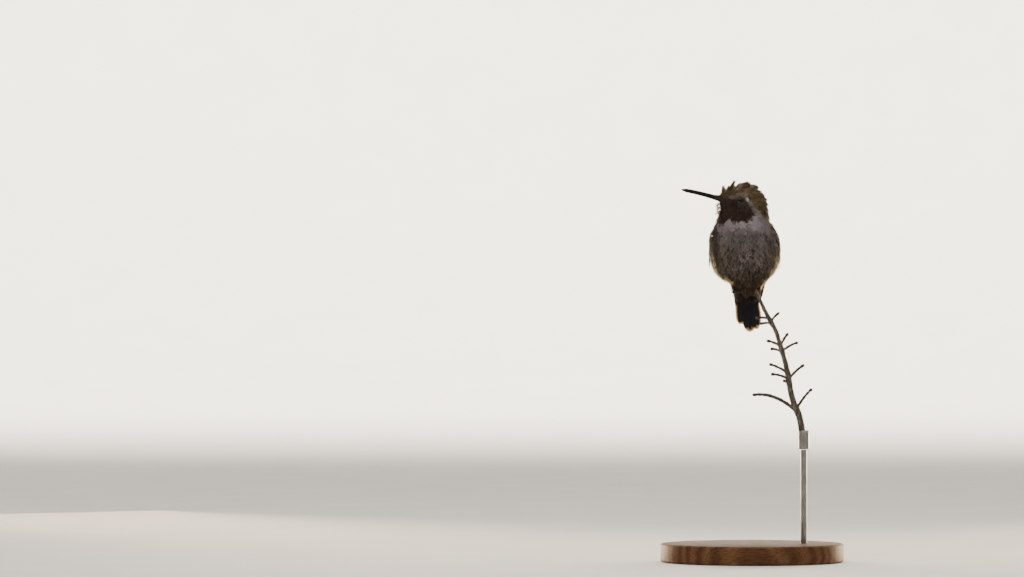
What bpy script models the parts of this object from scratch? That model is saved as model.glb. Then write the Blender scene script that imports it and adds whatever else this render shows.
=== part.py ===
"""A male Anna's hummingbird, fluffed up and perched on the cut end of a stem, on a display stand.

Lengths are in millimetres and are turned into metres when a mesh is made. +X is the viewer's right,
+Y is away from the viewer and +Z is up. The bird's belly faces -Y, and its head is turned to -X.
The frame's origin is the centre of the stand's underside. The bird and its stem are laid out
from GRIP, the point where the feet close on the stem.
"""
import math

import bmesh
import bpy
from mathutils import Matrix, Vector

MM = 0.001
GAP = 0.3  # left between pieces that touch

# Stand
BASE_RADIUS = 44.0
BASE_HEIGHT = 9.0
BASE_BEVEL = 1.2
ROD_RADIUS = 1.5
ROD_SOCKET = 4.0  # how deep the rod sits in the base
COLLAR_RADIUS = 2.7
COLLAR_HEIGHT = 9.0
COLLAR_FLOOR = 2.0  # metal under the stem's cut end

# Perch: the stem's centre line from its tip down, as (x, y, z) from the grip, with its radius
GRIP = Vector((1.4, -1.0, 131.0))
STEM = (
    ((-2.4, 0.0, 6.2), 0.60),
    ((0.0, 0.0, 0.5), 0.70),
    ((2.4, -0.2, -5.3), 0.82),
    ((5.8, -0.3, -12.5), 0.95),
    ((9.8, -0.2, -19.7), 1.00),
    ((12.1, 0.2, -26.9), 1.05),
    ((15.2, 0.6, -37.9), 1.20),
    ((17.8, 0.8, -51.8), 1.40),
    ((21.6, 0.9, -62.4), 1.50),
    ((23.4, 0.9, -74.5), 1.60),
)
STEM_STEP = 3.4
# Side shoots: height below the grip, length, rise in degrees, compass turn in degrees (0 is +X)
SHOOTS = (
    (-3.2, 12.2, 8.5, 184.0),
    (-14.2, 6.2, 3.0, 200.0),
    (-16.4, 5.2, -2.0, 168.0),
    (-15.6, 5.4, 47.0, 12.0),
    (-27.2, 6.6, 57.0, 20.0),
    (-29.8, 8.6, 28.0, -24.0),
    (-27.4, 6.8, 22.0, 192.0),
    (-30.1, 5.6, 14.0, 158.0),
    (-40.4, 9.4, 27.0, 176.0),
    (-43.3, 9.2, 16.0, 205.0),
    (-45.5, 3.0, 29.0, 180.0),
    (-43.2, 9.8, 42.0, 14.0),
    (-57.5, 11.8, 52.0, -16.0),
    (-59.4, 23.0, 22.0, 182.0),
)
SHOOT_RADIUS = 0.46
SHOOT_ARCH = 0.06  # how far a shoot's middle arches up, as a share of its length
LONG_SHOOT = 15.0
LONG_SHOOT_ARCH = 0.13
BUD_RADIUS = 0.72

# Body: cross-sections of the whole fluffed coat, from under the tail to the crown.
# Height, x and y of the centre, half width, half depth, and turn in degrees, from the grip.
SECTIONS = (
    (-2.0, -3.9, 7.2, 0.0, 0.0, 0.0),
    (-1.6, -3.9, 6.8, 4.0, 3.2, 0.0),
    (-0.4, -4.0, 5.3, 6.4, 6.2, 0.0),
    (1.6, -4.0, 3.7, 7.8, 8.2, 0.0),
    (3.8, -4.0, 2.8, 9.3, 9.6, 0.0),
    (6.2, -4.7, 2.7, 12.0, 10.6, 0.0),
    (9.1, -4.8, 2.2, 14.4, 12.0, 0.0),
    (12.4, -4.8, 1.3, 15.9, 13.3, 0.0),
    (17.8, -4.9, -0.5, 16.8, 14.5, 0.0),
    (23.5, -5.0, -2.8, 16.6, 14.2, 2.0),
    (28.9, -5.5, -5.0, 15.2, 12.9, 7.0),
    (33.0, -6.0, -6.4, 13.4, 11.6, 15.0),
    (37.4, -6.0, -7.0, 12.6, 10.6, 22.0),
    (41.8, -6.6, -7.0, 12.3, 10.3, 22.0),
    (45.1, -7.1, -7.0, 11.0, 9.6, 22.0),
    (47.5, -7.1, -6.9, 9.1, 8.1, 22.0),
    (49.3, -6.7, -6.8, 6.3, 5.8, 22.0),
    (50.3, -6.4, -6.7, 3.0, 2.8, 22.0),
    (50.5, -6.4, -6.7, 0.0, 0.0, 22.0),
)
RING_SIDES = 32
RINGS_PER_SECTION = 2
# Where the coat is parted into nodes: a point on each plane from the grip, and its slope towards -Y
HEAD_NECK = (Vector((-6.0, -7.0, 36.0)), -8.0)
NECK_TRUNK = (Vector((-6.0, -6.0, 30.6)), -16.0)
TRUNK_VENT = (Vector((-4.5, 3.0, 5.6)), 24.0)

# Head: its centre from the grip, and how its bill points
HEAD = Vector((-6.6, -7.0, 41.6))
HEAD_TURN = 22.0  # from -X towards the viewer
HEAD_RISE = 13.0
# Soft bulges and hollows: forward, left and up from the head's centre, radius, and height (- is in)
SWELLS = (
    ((11.2, 0.0, -0.2), 3.6, 2.2),  # feathers that run out on the bill's root
    ((8.6, 5.2, 0.8), 3.0, -0.7),  # lores
    ((8.6, -5.2, 0.8), 3.0, -0.7),
    ((5.0, 9.2, 5.0), 2.6, 0.6),  # brows
    ((5.0, -9.2, 5.0), 2.6, 0.6),
    ((2.6, 9.8, -3.2), 3.6, 0.5),  # cheeks
    ((2.6, -9.8, -3.2), 3.6, 0.5),
    ((10.4, 0.0, -4.6), 3.4, 0.5),  # chin
    ((6.6, 0.0, 6.8), 4.0, -2.1),  # dip between the raised forehead and the crown
    ((9.2, 0.0, 5.0), 2.6, -0.5),  # forehead
    ((12.8, 0.0, 2.6), 2.4, -1.1),  # above the bill
    ((10.4, 4.4, -2.2), 4.2, -3.4),  # muzzle
    ((10.4, -4.4, -2.2), 4.2, -3.4),
    ((9.8, 3.6, -7.0), 3.0, -1.0),  # sides of the chin
    ((9.8, -3.6, -7.0), 3.0, -1.0),
)
EYE_PLACE = (4.5, 7.7, -0.5)
EYE_RADIUS = 1.9
# Raised crown feathers: root forward, left and up from the head's centre, length, and lean back
# from upright
TUFTS = (
    (10.8, -0.6, 2.7, 3.2, 20.0),
    (9.2, 0.8, 3.7, 3.4, 24.0),
    (7.6, -0.4, 4.4, 5.7, 30.0),
    (2.4, 1.0, 6.8, 3.4, 42.0),
    (-1.0, -1.0, 6.6, 4.4, 55.0),
    (-5.0, 1.0, 5.0, 4.4, 70.0),
)
TUFT_RADIUS = 1.0

BILL_LENGTH = 19.9
BILL_ROOT = (12.4, 0.0, -1.15)  # in the head's own axes
BILL_BURIED = 1.4
BILL_HALF_WIDTH = 1.25
BILL_HALF_DEPTH = 1.22
BILL_TIP_SHARE = 0.70
BILL_BOW = 0.28  # how far its middle arches up
BILL_DROOP = 0.3
BILL_POINT = 0.13  # the share of its length that narrows to a point
BILL_POINT_LEFT = 0.02
BILL_GAP = 0.1

# Wings, folded. Each row: height, then the distance out from the bird's middle and the y of the
# front edge and of the rear edge, and half the thickness.
WING_MIDDLE = -4.9
WING_ROWS = (
    (33.0, 9.6, -2.0, 7.8, 1.6, 0.45),
    (31.0, 12.6, -4.6, 8.2, 5.4, 0.85),
    (27.6, 15.3, -5.0, 8.8, 8.4, 0.95),
    (23.0, 16.2, -2.6, 9.0, 11.6, 0.90),
    (17.0, 16.2, 1.2, 8.6, 14.0, 0.85),
    (11.0, 13.8, 5.6, 7.2, 15.6, 0.80),
    (5.5, 10.6, 9.6, 5.6, 16.1, 0.75),
    (0.0, 8.1, 12.4, 4.2, 16.4, 0.65),
    (-6.0, 6.6, 14.8, 3.0, 17.4, 0.55),
    (-12.0, 5.2, 17.0, 2.2, 18.8, 0.45),
    (-15.4, 4.2, 18.6, 2.0, 19.6, 0.36),
    (-17.0, 3.4, 19.6, 2.4, 19.9, 0.28),
)
WING_CUT_HEIGHT = 12.4  # coverts above, flight feathers below
WING_END_ROOM = 0.6  # no inner section lies nearer than this to a cut end
WING_BULGE = 0.17  # how far a section bows out, as a share of its width
WING_SLANT = 0.35  # rise of a section from its front edge to its rear one, as a share of its width
WING_ARC_POINTS = 5
WING_STEPS = 2
RIGHT_WING_TUCK = 0.62  # the right wing's lower end lies closer to the middle
RIGHT_WRIST = (29.0, 2.6, 1.4)  # where the right wing's wrist stands out: height, reach and how far
LEFT_FLARE = (-1.5, 5.0, 1.3)  # where the left wing's edge stands out beside the tail, in the same way
TUCK_HEIGHTS = (3.0, 14.0)

# Tail
TAIL_ROOT = Vector((-4.0, 8.2, -0.4))
TAIL_DIRECTION = Vector((0.10, 0.36, -1.0))
TAIL_BURIED = 2.6
TAIL_SLOT = 9.0  # how far down the vent its slot for the tail runs
TAIL_LENGTH = 21.9
TAIL_HALF_WIDTH = 5.9
TAIL_ROOT_HALF_WIDTH = 5.2
TAIL_FEATHER_HALF_WIDTH = 2.3
TAIL_TIP_ROUND = 1.4  # how far a feather's tip stands out from its corners
TAIL_FEATHERS = (-4.2, -1.6, 0.9, 3.3, 4.4)
TAIL_LONGEST_AT = 0.6
TAIL_DROP = 0.21  # how much sooner a feather ends, per square millimetre off the longest
TAIL_HALF_THICKNESS = 0.45
TAIL_BOW = 0.022
TAIL_COLUMNS = 24
TAIL_ROWS = 5

# Feet
TOE_RADIUS = 0.34
TOE_SPACING = 0.78
TOE_CLEARANCE = 0.16
FRONT_TOE_SWEEP = 215.0
HIND_TOE_SWEEP = 120.0
CLAW_SWEEP = 46.0
PAD_RADIUS = 0.72
PAD_HALF_LENGTH = 1.3
LEFT_FOOT = (2.0, 58.0)  # height above the grip, and the side that the pad is on
RIGHT_FOOT = (4.3, 122.0)
LEG_RADIUS = 0.5
LEFT_LEG = ((0.55, 1.95, 3.8), (0.8, 2.2, 5.5), (-0.2, 1.4, 9.2))  # from the grip
RIGHT_LEG = ((-3.2, 1.6, 6.0), (-3.4, 1.8, 6.9), (-2.7, 1.4, 9.2))
HOLLOW_RADII = (3.7, 3.3, 7.4)  # room among the belly feathers for the feet
HOLLOW_CENTRE = Vector((-1.3, 1.1, 3.4))

COLOURS = {
    "crown": ((0.055, 0.060, 0.035), 0.55, 0.15),
    "gorget": ((0.070, 0.022, 0.028), 0.40, 0.25),
    "belly": ((0.300, 0.270, 0.240), 0.85, 0.0),
    "vent": ((0.180, 0.150, 0.110), 0.85, 0.0),
    "wing": ((0.075, 0.058, 0.050), 0.60, 0.05),
    "tail": ((0.022, 0.020, 0.024), 0.45, 0.15),
    "bill": ((0.020, 0.017, 0.015), 0.35, 0.0),
    "eye": ((0.008, 0.006, 0.005), 0.05, 0.0),
    "foot": ((0.035, 0.028, 0.025), 0.60, 0.0),
    "stem": ((0.230, 0.170, 0.110), 0.90, 0.0),
    "stand_wood": ((0.120, 0.065, 0.035), 0.40, 0.0),
    "stand_steel": ((0.560, 0.560, 0.550), 0.25, 1.0),
}


def collection(name):
    made = bpy.data.collections.new(name)
    bpy.context.scene.collection.children.link(made)
    return made


def material(name):
    made = bpy.data.materials.get(name)
    if made:
        return made
    colour, roughness, metallic = COLOURS[name]
    made = bpy.data.materials.new(name)
    made.use_nodes = True
    shader = made.node_tree.nodes["Principled BSDF"]
    shader.inputs["Base Color"].default_value = (*colour, 1.0)
    shader.inputs["Roughness"].default_value = roughness
    shader.inputs["Metallic"].default_value = metallic
    return made


def add_mesh(name, bm, slot, group, smooth=True):
    """An object of a bmesh in millimetres, with its normals facing out."""
    bmesh.ops.scale(bm, vec=(MM, MM, MM), verts=bm.verts)
    bmesh.ops.recalc_face_normals(bm, faces=bm.faces)
    mesh = bpy.data.meshes.new(name)
    bm.to_mesh(mesh)
    bm.free()
    if smooth:
        mesh.shade_smooth()
    made = bpy.data.objects.new(name, mesh)
    group.objects.link(made)
    if slot:
        mesh.materials.append(material(slot))
    else:
        made.hide_render = True
        made.display_type = "WIRE"
    return made


def boolean(piece, other, operation):
    step = piece.modifiers.new(operation.lower() + "_" + other.name, "BOOLEAN")
    step.operation = operation
    step.object = other
    step.solver = "EXACT"


def eased(rows, t):
    """A smooth curve through equal-length rows of numbers, at t from 0 to len(rows) - 1."""
    i = min(int(t), len(rows) - 2)
    f = t - i
    before = rows[max(i - 1, 0)]
    after = rows[min(i + 2, len(rows) - 1)]
    values = []
    for a, b, c, d in zip(before, rows[i], rows[i + 1], after):
        slope_b = (c - a) / 2
        slope_c = (d - b) / 2
        rise = c - b
        values.append(b + f * slope_b + f * f * (3 * rise - 2 * slope_b - slope_c)
                      + f ** 3 * (slope_b + slope_c - 2 * rise))
    return values


def skin_rings(bm, rings):
    """Faces between rings of points, closed at both ends. A ring of one point is a pole."""
    made = [[bm.verts.new(point) for point in ring] for ring in rings]
    for low, high in zip(made, made[1:]):
        count = max(len(low), len(high))
        for i in range(count):
            j = (i + 1) % count
            corners = [low[i % len(low)], low[j % len(low)], high[j % len(high)], high[i % len(high)]]
            bm.faces.new(list(dict.fromkeys(corners)))
    for ring in (made[0], made[-1]):
        if len(ring) > 1:
            bm.faces.new(ring)


def head_axes():
    """The head's forward, left and up directions, and its place, as a matrix."""
    turn = math.radians(HEAD_TURN)
    rise = math.radians(HEAD_RISE)
    forward = Vector((-math.cos(turn) * math.cos(rise), -math.sin(turn) * math.cos(rise), math.sin(rise)))
    left = Vector((0, 0, 1)).cross(forward).normalized()
    up = forward.cross(left)
    turned = Matrix((forward, left, up)).transposed().to_4x4()
    return Matrix.Translation(GRIP + HEAD) @ turned


def swollen(point, axes):
    """A point of the coat moved out, or in, by the head's swells."""
    local = axes.inverted() @ point
    moved = Vector(local)
    for centre, radius, height in SWELLS:
        near = math.exp(-(local - Vector(centre)).length_squared / radius ** 2)
        moved += Vector(centre).normalized() * height * near
    return axes @ moved


def coat_rings():
    axes = head_axes()
    rings = []
    steps = (len(SECTIONS) - 1) * RINGS_PER_SECTION
    for step in range(steps + 1):
        height, x, y, wide, deep, turn = eased(SECTIONS, step / RINGS_PER_SECTION)
        turn = math.radians(turn)
        centre = GRIP + Vector((x, y, height))
        if step in (0, steps):
            rings.append([centre])
            continue
        ring = []
        for i in range(RING_SIDES):
            angle = math.tau * i / RING_SIDES
            along = wide * math.cos(angle)
            across = deep * math.sin(angle)
            offset = Vector((along * math.cos(turn) - across * math.sin(turn),
                             along * math.sin(turn) + across * math.cos(turn), 0))
            ring.append(swollen(centre + offset, axes))
        rings.append(ring)
    return rings


def cut_plane(place, side):
    """A parting plane's point and normal, half a gap to the given side of the cut."""
    point, slope = place
    slope = math.radians(slope)
    normal = Vector((0, math.sin(slope), math.cos(slope)))
    return GRIP + point + normal * (side * GAP / 2), normal


def coat_part(name, slot, group, above=None, below=None):
    """The length of the coat above one parting plane and below another."""
    bm = bmesh.new()
    skin_rings(bm, coat_rings())
    for place, side in ((above, 1), (below, -1)):
        if place is None:
            continue
        point, normal = cut_plane(place, side)
        cut = bmesh.ops.bisect_plane(
            bm, geom=bm.verts[:] + bm.edges[:] + bm.faces[:], dist=1e-5, plane_co=point, plane_no=normal,
            clear_inner=side > 0, clear_outer=side < 0)
        rim = [item for item in cut["geom_cut"] if isinstance(item, bmesh.types.BMEdge)]
        bmesh.ops.edgeloop_fill(bm, edges=rim)
    return add_mesh(name, bm, slot, group)


def ball(name, centre, radii, slot, group, across=12, up=8):
    bm = bmesh.new()
    bmesh.ops.create_uvsphere(bm, u_segments=across, v_segments=up, radius=1.0)
    bmesh.ops.scale(bm, vec=radii, verts=bm.verts)
    bmesh.ops.translate(bm, vec=centre, verts=bm.verts)
    return add_mesh(name, bm, slot, group)


def tube(name, points, radii, slot, group, resolution=1):
    """A tapering tube as a mesh, from a bevelled curve with welded caps."""
    curve = bpy.data.curves.new(name, "CURVE")
    curve.dimensions = "3D"
    curve.bevel_depth = MM
    curve.bevel_resolution = resolution
    curve.use_fill_caps = True
    spline = curve.splines.new("POLY")
    spline.points.add(len(points) - 1)
    for spot, point, radius in zip(spline.points, points, radii):
        spot.co = (*(Vector(point) * MM), 1.0)
        spot.radius = radius
    guide = bpy.data.objects.new(name + "_curve", curve)
    group.objects.link(guide)
    bpy.context.view_layer.update()
    mesh = bpy.data.meshes.new_from_object(guide.evaluated_get(bpy.context.evaluated_depsgraph_get()))
    bm = bmesh.new()
    bm.from_mesh(mesh)
    bmesh.ops.remove_doubles(bm, verts=bm.verts, dist=1e-6)
    bmesh.ops.scale(bm, vec=(1 / MM,) * 3, verts=bm.verts)
    bpy.data.objects.remove(guide)
    bpy.data.curves.remove(curve)
    bpy.data.meshes.remove(mesh)
    return add_mesh(name, bm, slot, group)


def make_coat(parts, cutters):
    """Head, neck, trunk and vent: one coat, parted with thin cuts."""
    head = coat_part("head", "crown", parts, above=HEAD_NECK)
    neck = coat_part("neck", "gorget", parts, above=NECK_TRUNK, below=HEAD_NECK)
    trunk = coat_part("trunk", "belly", parts, above=TRUNK_VENT, below=NECK_TRUNK)
    vent = coat_part("vent", "vent", parts, below=TRUNK_VENT)
    hollow = ball("foot_hollow", GRIP + HOLLOW_CENTRE, HOLLOW_RADII, None, cutters)
    boolean(trunk, hollow, "DIFFERENCE")
    boolean(vent, hollow, "DIFFERENCE")
    return head, neck, trunk, vent


def make_tufts(head, cutters):
    """Raised crown feathers, as cones that lean back, joined to the head."""
    axes = head_axes()
    for number, (forward, left, up, length, lean) in enumerate(TUFTS, 1):
        lean = math.radians(lean - HEAD_RISE)
        direction = Vector((-math.sin(lean), 0, math.cos(lean)))
        root = Vector((forward, left, up))
        bm = bmesh.new()
        bmesh.ops.create_cone(bm, cap_ends=True, segments=8, radius1=TUFT_RADIUS, radius2=0.12,
                              depth=length)
        bmesh.ops.translate(bm, vec=(0, 0, length / 2), verts=bm.verts)
        stand = Vector((0, 0, 1)).rotation_difference(direction).to_matrix().to_4x4()
        bmesh.ops.transform(bm, matrix=axes @ Matrix.Translation(root) @ stand, verts=bm.verts)
        tuft = add_mesh("tuft_%d" % number, bm, None, cutters)
        boolean(head, tuft, "UNION")


def make_eyes(head, parts, cutters):
    axes = head_axes()
    forward, left, up = EYE_PLACE
    for side, sign in (("left", 1), ("right", -1)):
        centre = axes @ Vector((forward, sign * left, up))
        ball("eye_" + side, centre, (EYE_RADIUS,) * 3, "eye", parts)
        socket = ball("eye_socket_" + side, centre, (EYE_RADIUS + GAP,) * 3, None, cutters)
        boolean(head, socket, "DIFFERENCE")


def bill_rings(side, sides=6, steps=10):
    """Half-round rings along one half of the bill: side is 1 for the upper half, -1 for the lower."""
    axes = head_axes()
    rings = []
    length = BILL_LENGTH if side > 0 else BILL_LENGTH * 0.985
    for step in range(steps + 1):
        along = -BILL_BURIED + (length + BILL_BURIED) * step / steps
        share = max(along, 0) / BILL_LENGTH
        taper = 1 - (1 - BILL_TIP_SHARE) * share ** 0.6
        taper *= min(max(1 - share, BILL_POINT_LEFT) / BILL_POINT, 1) ** 0.55
        rise = BILL_BOW * 4 * share * (1 - share) - BILL_DROOP * share ** 2
        ring = []
        for i in range(sides + 1):
            angle = math.pi * i / sides
            wide = BILL_HALF_WIDTH * taper * math.cos(angle)
            deep = BILL_HALF_DEPTH * taper * math.sin(angle) + BILL_GAP / 2
            spot = Vector(BILL_ROOT) + Vector((along, wide, rise + side * deep))
            ring.append(axes @ spot)
        rings.append(ring)
    return rings


def make_bill(head, parts, cutters):
    for name, side in (("bill_upper", 1), ("bill_lower", -1)):
        bm = bmesh.new()
        skin_rings(bm, bill_rings(side))
        add_mesh(name, bm, "bill", parts)
    axes = head_axes()
    bm = bmesh.new()
    bmesh.ops.create_cone(bm, cap_ends=True, segments=16, radius1=1.0, radius2=1.0, depth=BILL_BURIED * 2 + 6)
    room = Matrix.Diagonal((BILL_HALF_DEPTH + GAP + BILL_GAP, BILL_HALF_WIDTH + GAP, 1, 1))
    along = Matrix.Rotation(math.radians(90), 4, "Y")
    middle = Vector(BILL_ROOT) + Vector((3 - GAP, 0, 0))
    bmesh.ops.transform(bm, matrix=axes @ Matrix.Translation(middle) @ along @ room, verts=bm.verts)
    boolean(head, add_mesh("bill_room", bm, None, cutters), "DIFFERENCE")


def wing_section(row, side, grow):
    """One closed section of a folded wing: out along its outer face and back along its inner one."""
    height, front_out, front_y, rear_out, rear_y, thick = row
    if side < 0:
        low, high = TUCK_HEIGHTS
        share = min(max((height - low) / (high - low), 0), 1)
        tuck = RIGHT_WING_TUCK + (1 - RIGHT_WING_TUCK) * share
        front_out *= tuck
        rear_out *= tuck
    middle, reach, far = RIGHT_WRIST if side < 0 else LEFT_FLARE
    front_out += far * math.exp(-((height - middle) / reach) ** 2)
    front = Vector((front_out, front_y, 0))
    rear = Vector((rear_out, rear_y, 0))
    chord = rear - front
    outward = Vector((chord.y, -chord.x, 0)).normalized()
    ring = []
    for face in (1, -1):
        for i in range(WING_ARC_POINTS + 1):
            share = i / WING_ARC_POINTS if face > 0 else 1 - i / WING_ARC_POINTS
            arch = 4 * share * (1 - share)
            edge = 0.45 + 0.55 * arch ** 0.5
            reach = chord.length * WING_BULGE * arch + face * (thick * edge + grow)
            slide = grow * (2 * share - 1)
            spot = front + chord * share + outward * reach + chord.normalized() * slide
            rise = WING_SLANT * chord.length * (share - 0.5)
            ring.append(Vector((WING_MIDDLE + side * spot.x, spot.y, height + rise)) + GRIP)
    return ring


def wing_row_at(height):
    """The interpolated wing row at a height. The rows run from the top down."""
    low, high = 0.0, len(WING_ROWS) - 1.0
    for _ in range(30):
        middle = (low + high) / 2
        if eased(WING_ROWS, middle)[0] > height:
            low = middle
        else:
            high = middle
    return eased(WING_ROWS, high)


def wing_mesh(side, low, high, grow=0.0):
    """The folded wing between two of its heights, grown all round by grow."""
    steps = (len(WING_ROWS) - 1) * WING_STEPS
    rows = [eased(WING_ROWS, step / WING_STEPS) for step in range(steps + 1)]
    inner = [row for row in rows if low + WING_END_ROOM < row[0] < high - WING_END_ROOM]
    rings = [wing_section(row, side, grow) for row in (wing_row_at(high), *inner, wing_row_at(low))]
    if grow:
        rings.insert(0, [point + Vector((0, 0, grow)) for point in rings[0]])
        rings.append([point - Vector((0, 0, grow)) for point in rings[-1]])
    bm = bmesh.new()
    skin_rings(bm, rings)
    return bm


def make_wings(coat, parts, cutters):
    top, bottom = WING_ROWS[0][0], WING_ROWS[-1][0]
    for name, side in (("left", 1), ("right", -1)):
        coverts = wing_mesh(side, WING_CUT_HEIGHT + GAP / 2, top)
        add_mesh("wing_" + name, coverts, "wing", parts)
        flight = wing_mesh(side, bottom, WING_CUT_HEIGHT - GAP / 2)
        add_mesh("wing_" + name + "_primaries", flight, "wing", parts)
        room = add_mesh("wing_room_" + name, wing_mesh(side, bottom, top, GAP), None, cutters)
        for piece in coat:
            boolean(piece, room, "DIFFERENCE")


def tail_axes():
    along = TAIL_DIRECTION.normalized()
    across = Vector((1, 0, 0))
    across = (across - along * across.dot(along)).normalized()
    under = across.cross(along).normalized()
    if under.y > 0:
        under.negate()
    turned = Matrix((across, along, under)).transposed().to_4x4()
    return Matrix.Translation(GRIP + TAIL_ROOT) @ turned


def tail_end(across):
    """How far the tail reaches at a distance across it: the furthest of its round feather tips."""
    reach = 0
    for middle in TAIL_FEATHERS:
        off = abs(across - middle) / TAIL_FEATHER_HALF_WIDTH
        if off < 1:
            length = TAIL_LENGTH - TAIL_DROP * (middle - TAIL_LONGEST_AT) ** 2
            reach = max(reach, length - TAIL_TIP_ROUND * (1 - math.sqrt(1 - off * off)))
    return reach


def make_tail(vent, parts, cutters):
    axes = tail_axes()
    rings = []
    for column in range(TAIL_COLUMNS + 1):
        share = 2 * column / TAIL_COLUMNS - 1
        across = TAIL_HALF_WIDTH * share
        end = tail_end(across * 0.985)
        thick = TAIL_HALF_THICKNESS * (0.6 + 0.4 * math.sqrt(1 - share * share))
        ring = []
        for face in (1, -1):
            for row in range(TAIL_ROWS + 1):
                part = row / TAIL_ROWS if face > 0 else 1 - row / TAIL_ROWS
                along = -TAIL_BURIED + (end + TAIL_BURIED) * part
                narrow = TAIL_ROOT_HALF_WIDTH / TAIL_HALF_WIDTH
                wide = across * (narrow + (1 - narrow) * min(max(along, 0) / 8.0, 1))
                ring.append(axes @ Vector((wide, along, TAIL_BOW * across ** 2 + face * thick)))
        rings.append(ring)
    bm = bmesh.new()
    skin_rings(bm, rings)
    add_mesh("tail", bm, "tail", parts)
    bm = bmesh.new()
    bmesh.ops.create_cube(bm, size=2.0)
    bow = TAIL_BOW * TAIL_HALF_WIDTH ** 2
    room = Matrix.Diagonal((TAIL_HALF_WIDTH + GAP, TAIL_SLOT / 2, TAIL_HALF_THICKNESS + bow / 2 + GAP, 1))
    middle = Vector((0, TAIL_SLOT / 2 - TAIL_BURIED - GAP, bow / 2))
    bmesh.ops.transform(bm, matrix=axes @ Matrix.Translation(middle) @ room, verts=bm.verts)
    boolean(vent, add_mesh("tail_room", bm, None, cutters), "DIFFERENCE")


def stem_route():
    """Points down the stem about STEM_STEP apart, with their radii."""
    rows = [(*place, radius) for place, radius in STEM]
    points = []
    radii = []
    for i in range(len(rows) - 1):
        length = (Vector(rows[i + 1][:3]) - Vector(rows[i][:3])).length
        count = max(round(length / STEM_STEP), 1)
        for j in range(count):
            *place, radius = eased(rows, i + j / count)
            points.append(GRIP + Vector(place))
            radii.append(radius)
    *place, radius = rows[-1]
    points.append(GRIP + Vector(place))
    radii.append(radius)
    return points, radii


def stem_at(height):
    """The stem's centre at a height above the grip, its radius there and its direction downwards."""
    points, radii = stem_route()
    for i in range(len(points) - 1):
        high, low = points[i].z - GRIP.z, points[i + 1].z - GRIP.z
        if high >= height >= low:
            share = (high - height) / (high - low)
            radius = radii[i] + (radii[i + 1] - radii[i]) * share
            return points[i].lerp(points[i + 1], share), radius, (points[i + 1] - points[i]).normalized()
    return points[0], radii[0], (points[1] - points[0]).normalized()


def make_stem(parts, cutters):
    points, radii = stem_route()
    stem = tube("perch_stem", points, radii, "stem", parts, resolution=2)
    for number, (height, length, rise, turn) in enumerate(SHOOTS, 1):
        root, radius, _ = stem_at(height)
        rise, turn = math.radians(rise), math.radians(turn)
        out = Vector((math.cos(rise) * math.cos(turn), math.cos(rise) * math.sin(turn), math.sin(rise)))
        arch = Vector((0, 0, (LONG_SHOOT_ARCH if length > LONG_SHOOT else SHOOT_ARCH) * length))
        route = [root + out * length * share + arch * (4 * share * (1 - share)) for share in (0.0, 0.35, 0.7)]
        route += [root + out * (length + BUD_RADIUS * share) for share in (-1.0, 0.0, 1.0)]
        thick = min(SHOOT_RADIUS + 0.012 * length, radius * 0.8)
        sizes = [thick * 1.15, thick, thick * 0.95, thick * 0.9, BUD_RADIUS, BUD_RADIUS * 0.45]
        boolean(stem, tube("shoot_%d" % number, route, sizes, None, cutters, resolution=0), "UNION")


def foot_frame(foot, offset=0.0):
    """The stem's centre and radius where a foot holds it, and the directions to its pad and round."""
    height, pad_side = foot
    centre, stem_radius, down = stem_at(height + offset)
    out = Vector((math.cos(math.radians(pad_side)), math.sin(math.radians(pad_side)), 0))
    out = (out - down * out.dot(down)).normalized()
    return centre, stem_radius, out, down.cross(out), down


def toe_route(foot, sweep, offset, points):
    """A toe's points round the stem, ending in its claw, and the radius at each."""
    centre, stem_radius, out, aside, _ = foot_frame(foot, offset)
    reach = stem_radius + TOE_CLEARANCE + TOE_RADIUS
    claw = math.copysign(CLAW_SWEEP, sweep)
    route = []
    sizes = []
    for i in range(points):
        share = i / (points - 1)
        angle = math.radians(sweep * share)
        route.append(centre + (out * math.cos(angle) + aside * math.sin(angle)) * reach)
        sizes.append(TOE_RADIUS * (1.05 - 0.25 * share))
    for share, size, lift in ((0.5, 0.62, 0.02), (1.0, 0.22, 0.12)):
        angle = math.radians(sweep + claw * share)
        route.append(centre + (out * math.cos(angle) + aside * math.sin(angle)) * (reach + lift))
        sizes.append(TOE_RADIUS * size)
    return route, sizes


def make_foot(name, foot, parts, cutters):
    """Three front toes and a hind toe closed round the stem, on a pad."""
    turn = 1 if foot[1] < 90 else -1
    centre, stem_radius, out, _, down = foot_frame(foot)
    pad = centre + out * (stem_radius + TOE_CLEARANCE + PAD_RADIUS)
    ends = [pad + down * (PAD_HALF_LENGTH * share) for share in (1.0, 0.75, -0.75, -1.0)]
    sizes = [PAD_RADIUS * share for share in (0.55, 1.0, 1.0, 0.55)]
    made = tube("foot_" + name, ends, sizes, "foot", parts, resolution=2)
    toes = [(turn * FRONT_TOE_SWEEP, offset * TOE_SPACING) for offset in (-1, 0, 1)]
    toes.append((-turn * HIND_TOE_SWEEP, TOE_SPACING * 0.5))
    for number, (sweep, offset) in enumerate(toes, 1):
        route, sizes = toe_route(foot, sweep, offset, 7 if abs(sweep) > 180 else 4)
        toe = tube("toe_%s_%d" % (name, number), route, sizes, None, cutters)
        boolean(made, toe, "UNION")


def make_legs(parts, cutters):
    for name, foot, shank in (("left", LEFT_FOOT, LEFT_LEG), ("right", RIGHT_FOOT, RIGHT_LEG)):
        make_foot(name, foot, parts, cutters)
        sizes = [LEG_RADIUS * 0.8, LEG_RADIUS, LEG_RADIUS * 1.1]
        tube("leg_" + name, [GRIP + Vector(point) for point in shank], sizes, "foot", parts)


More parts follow.
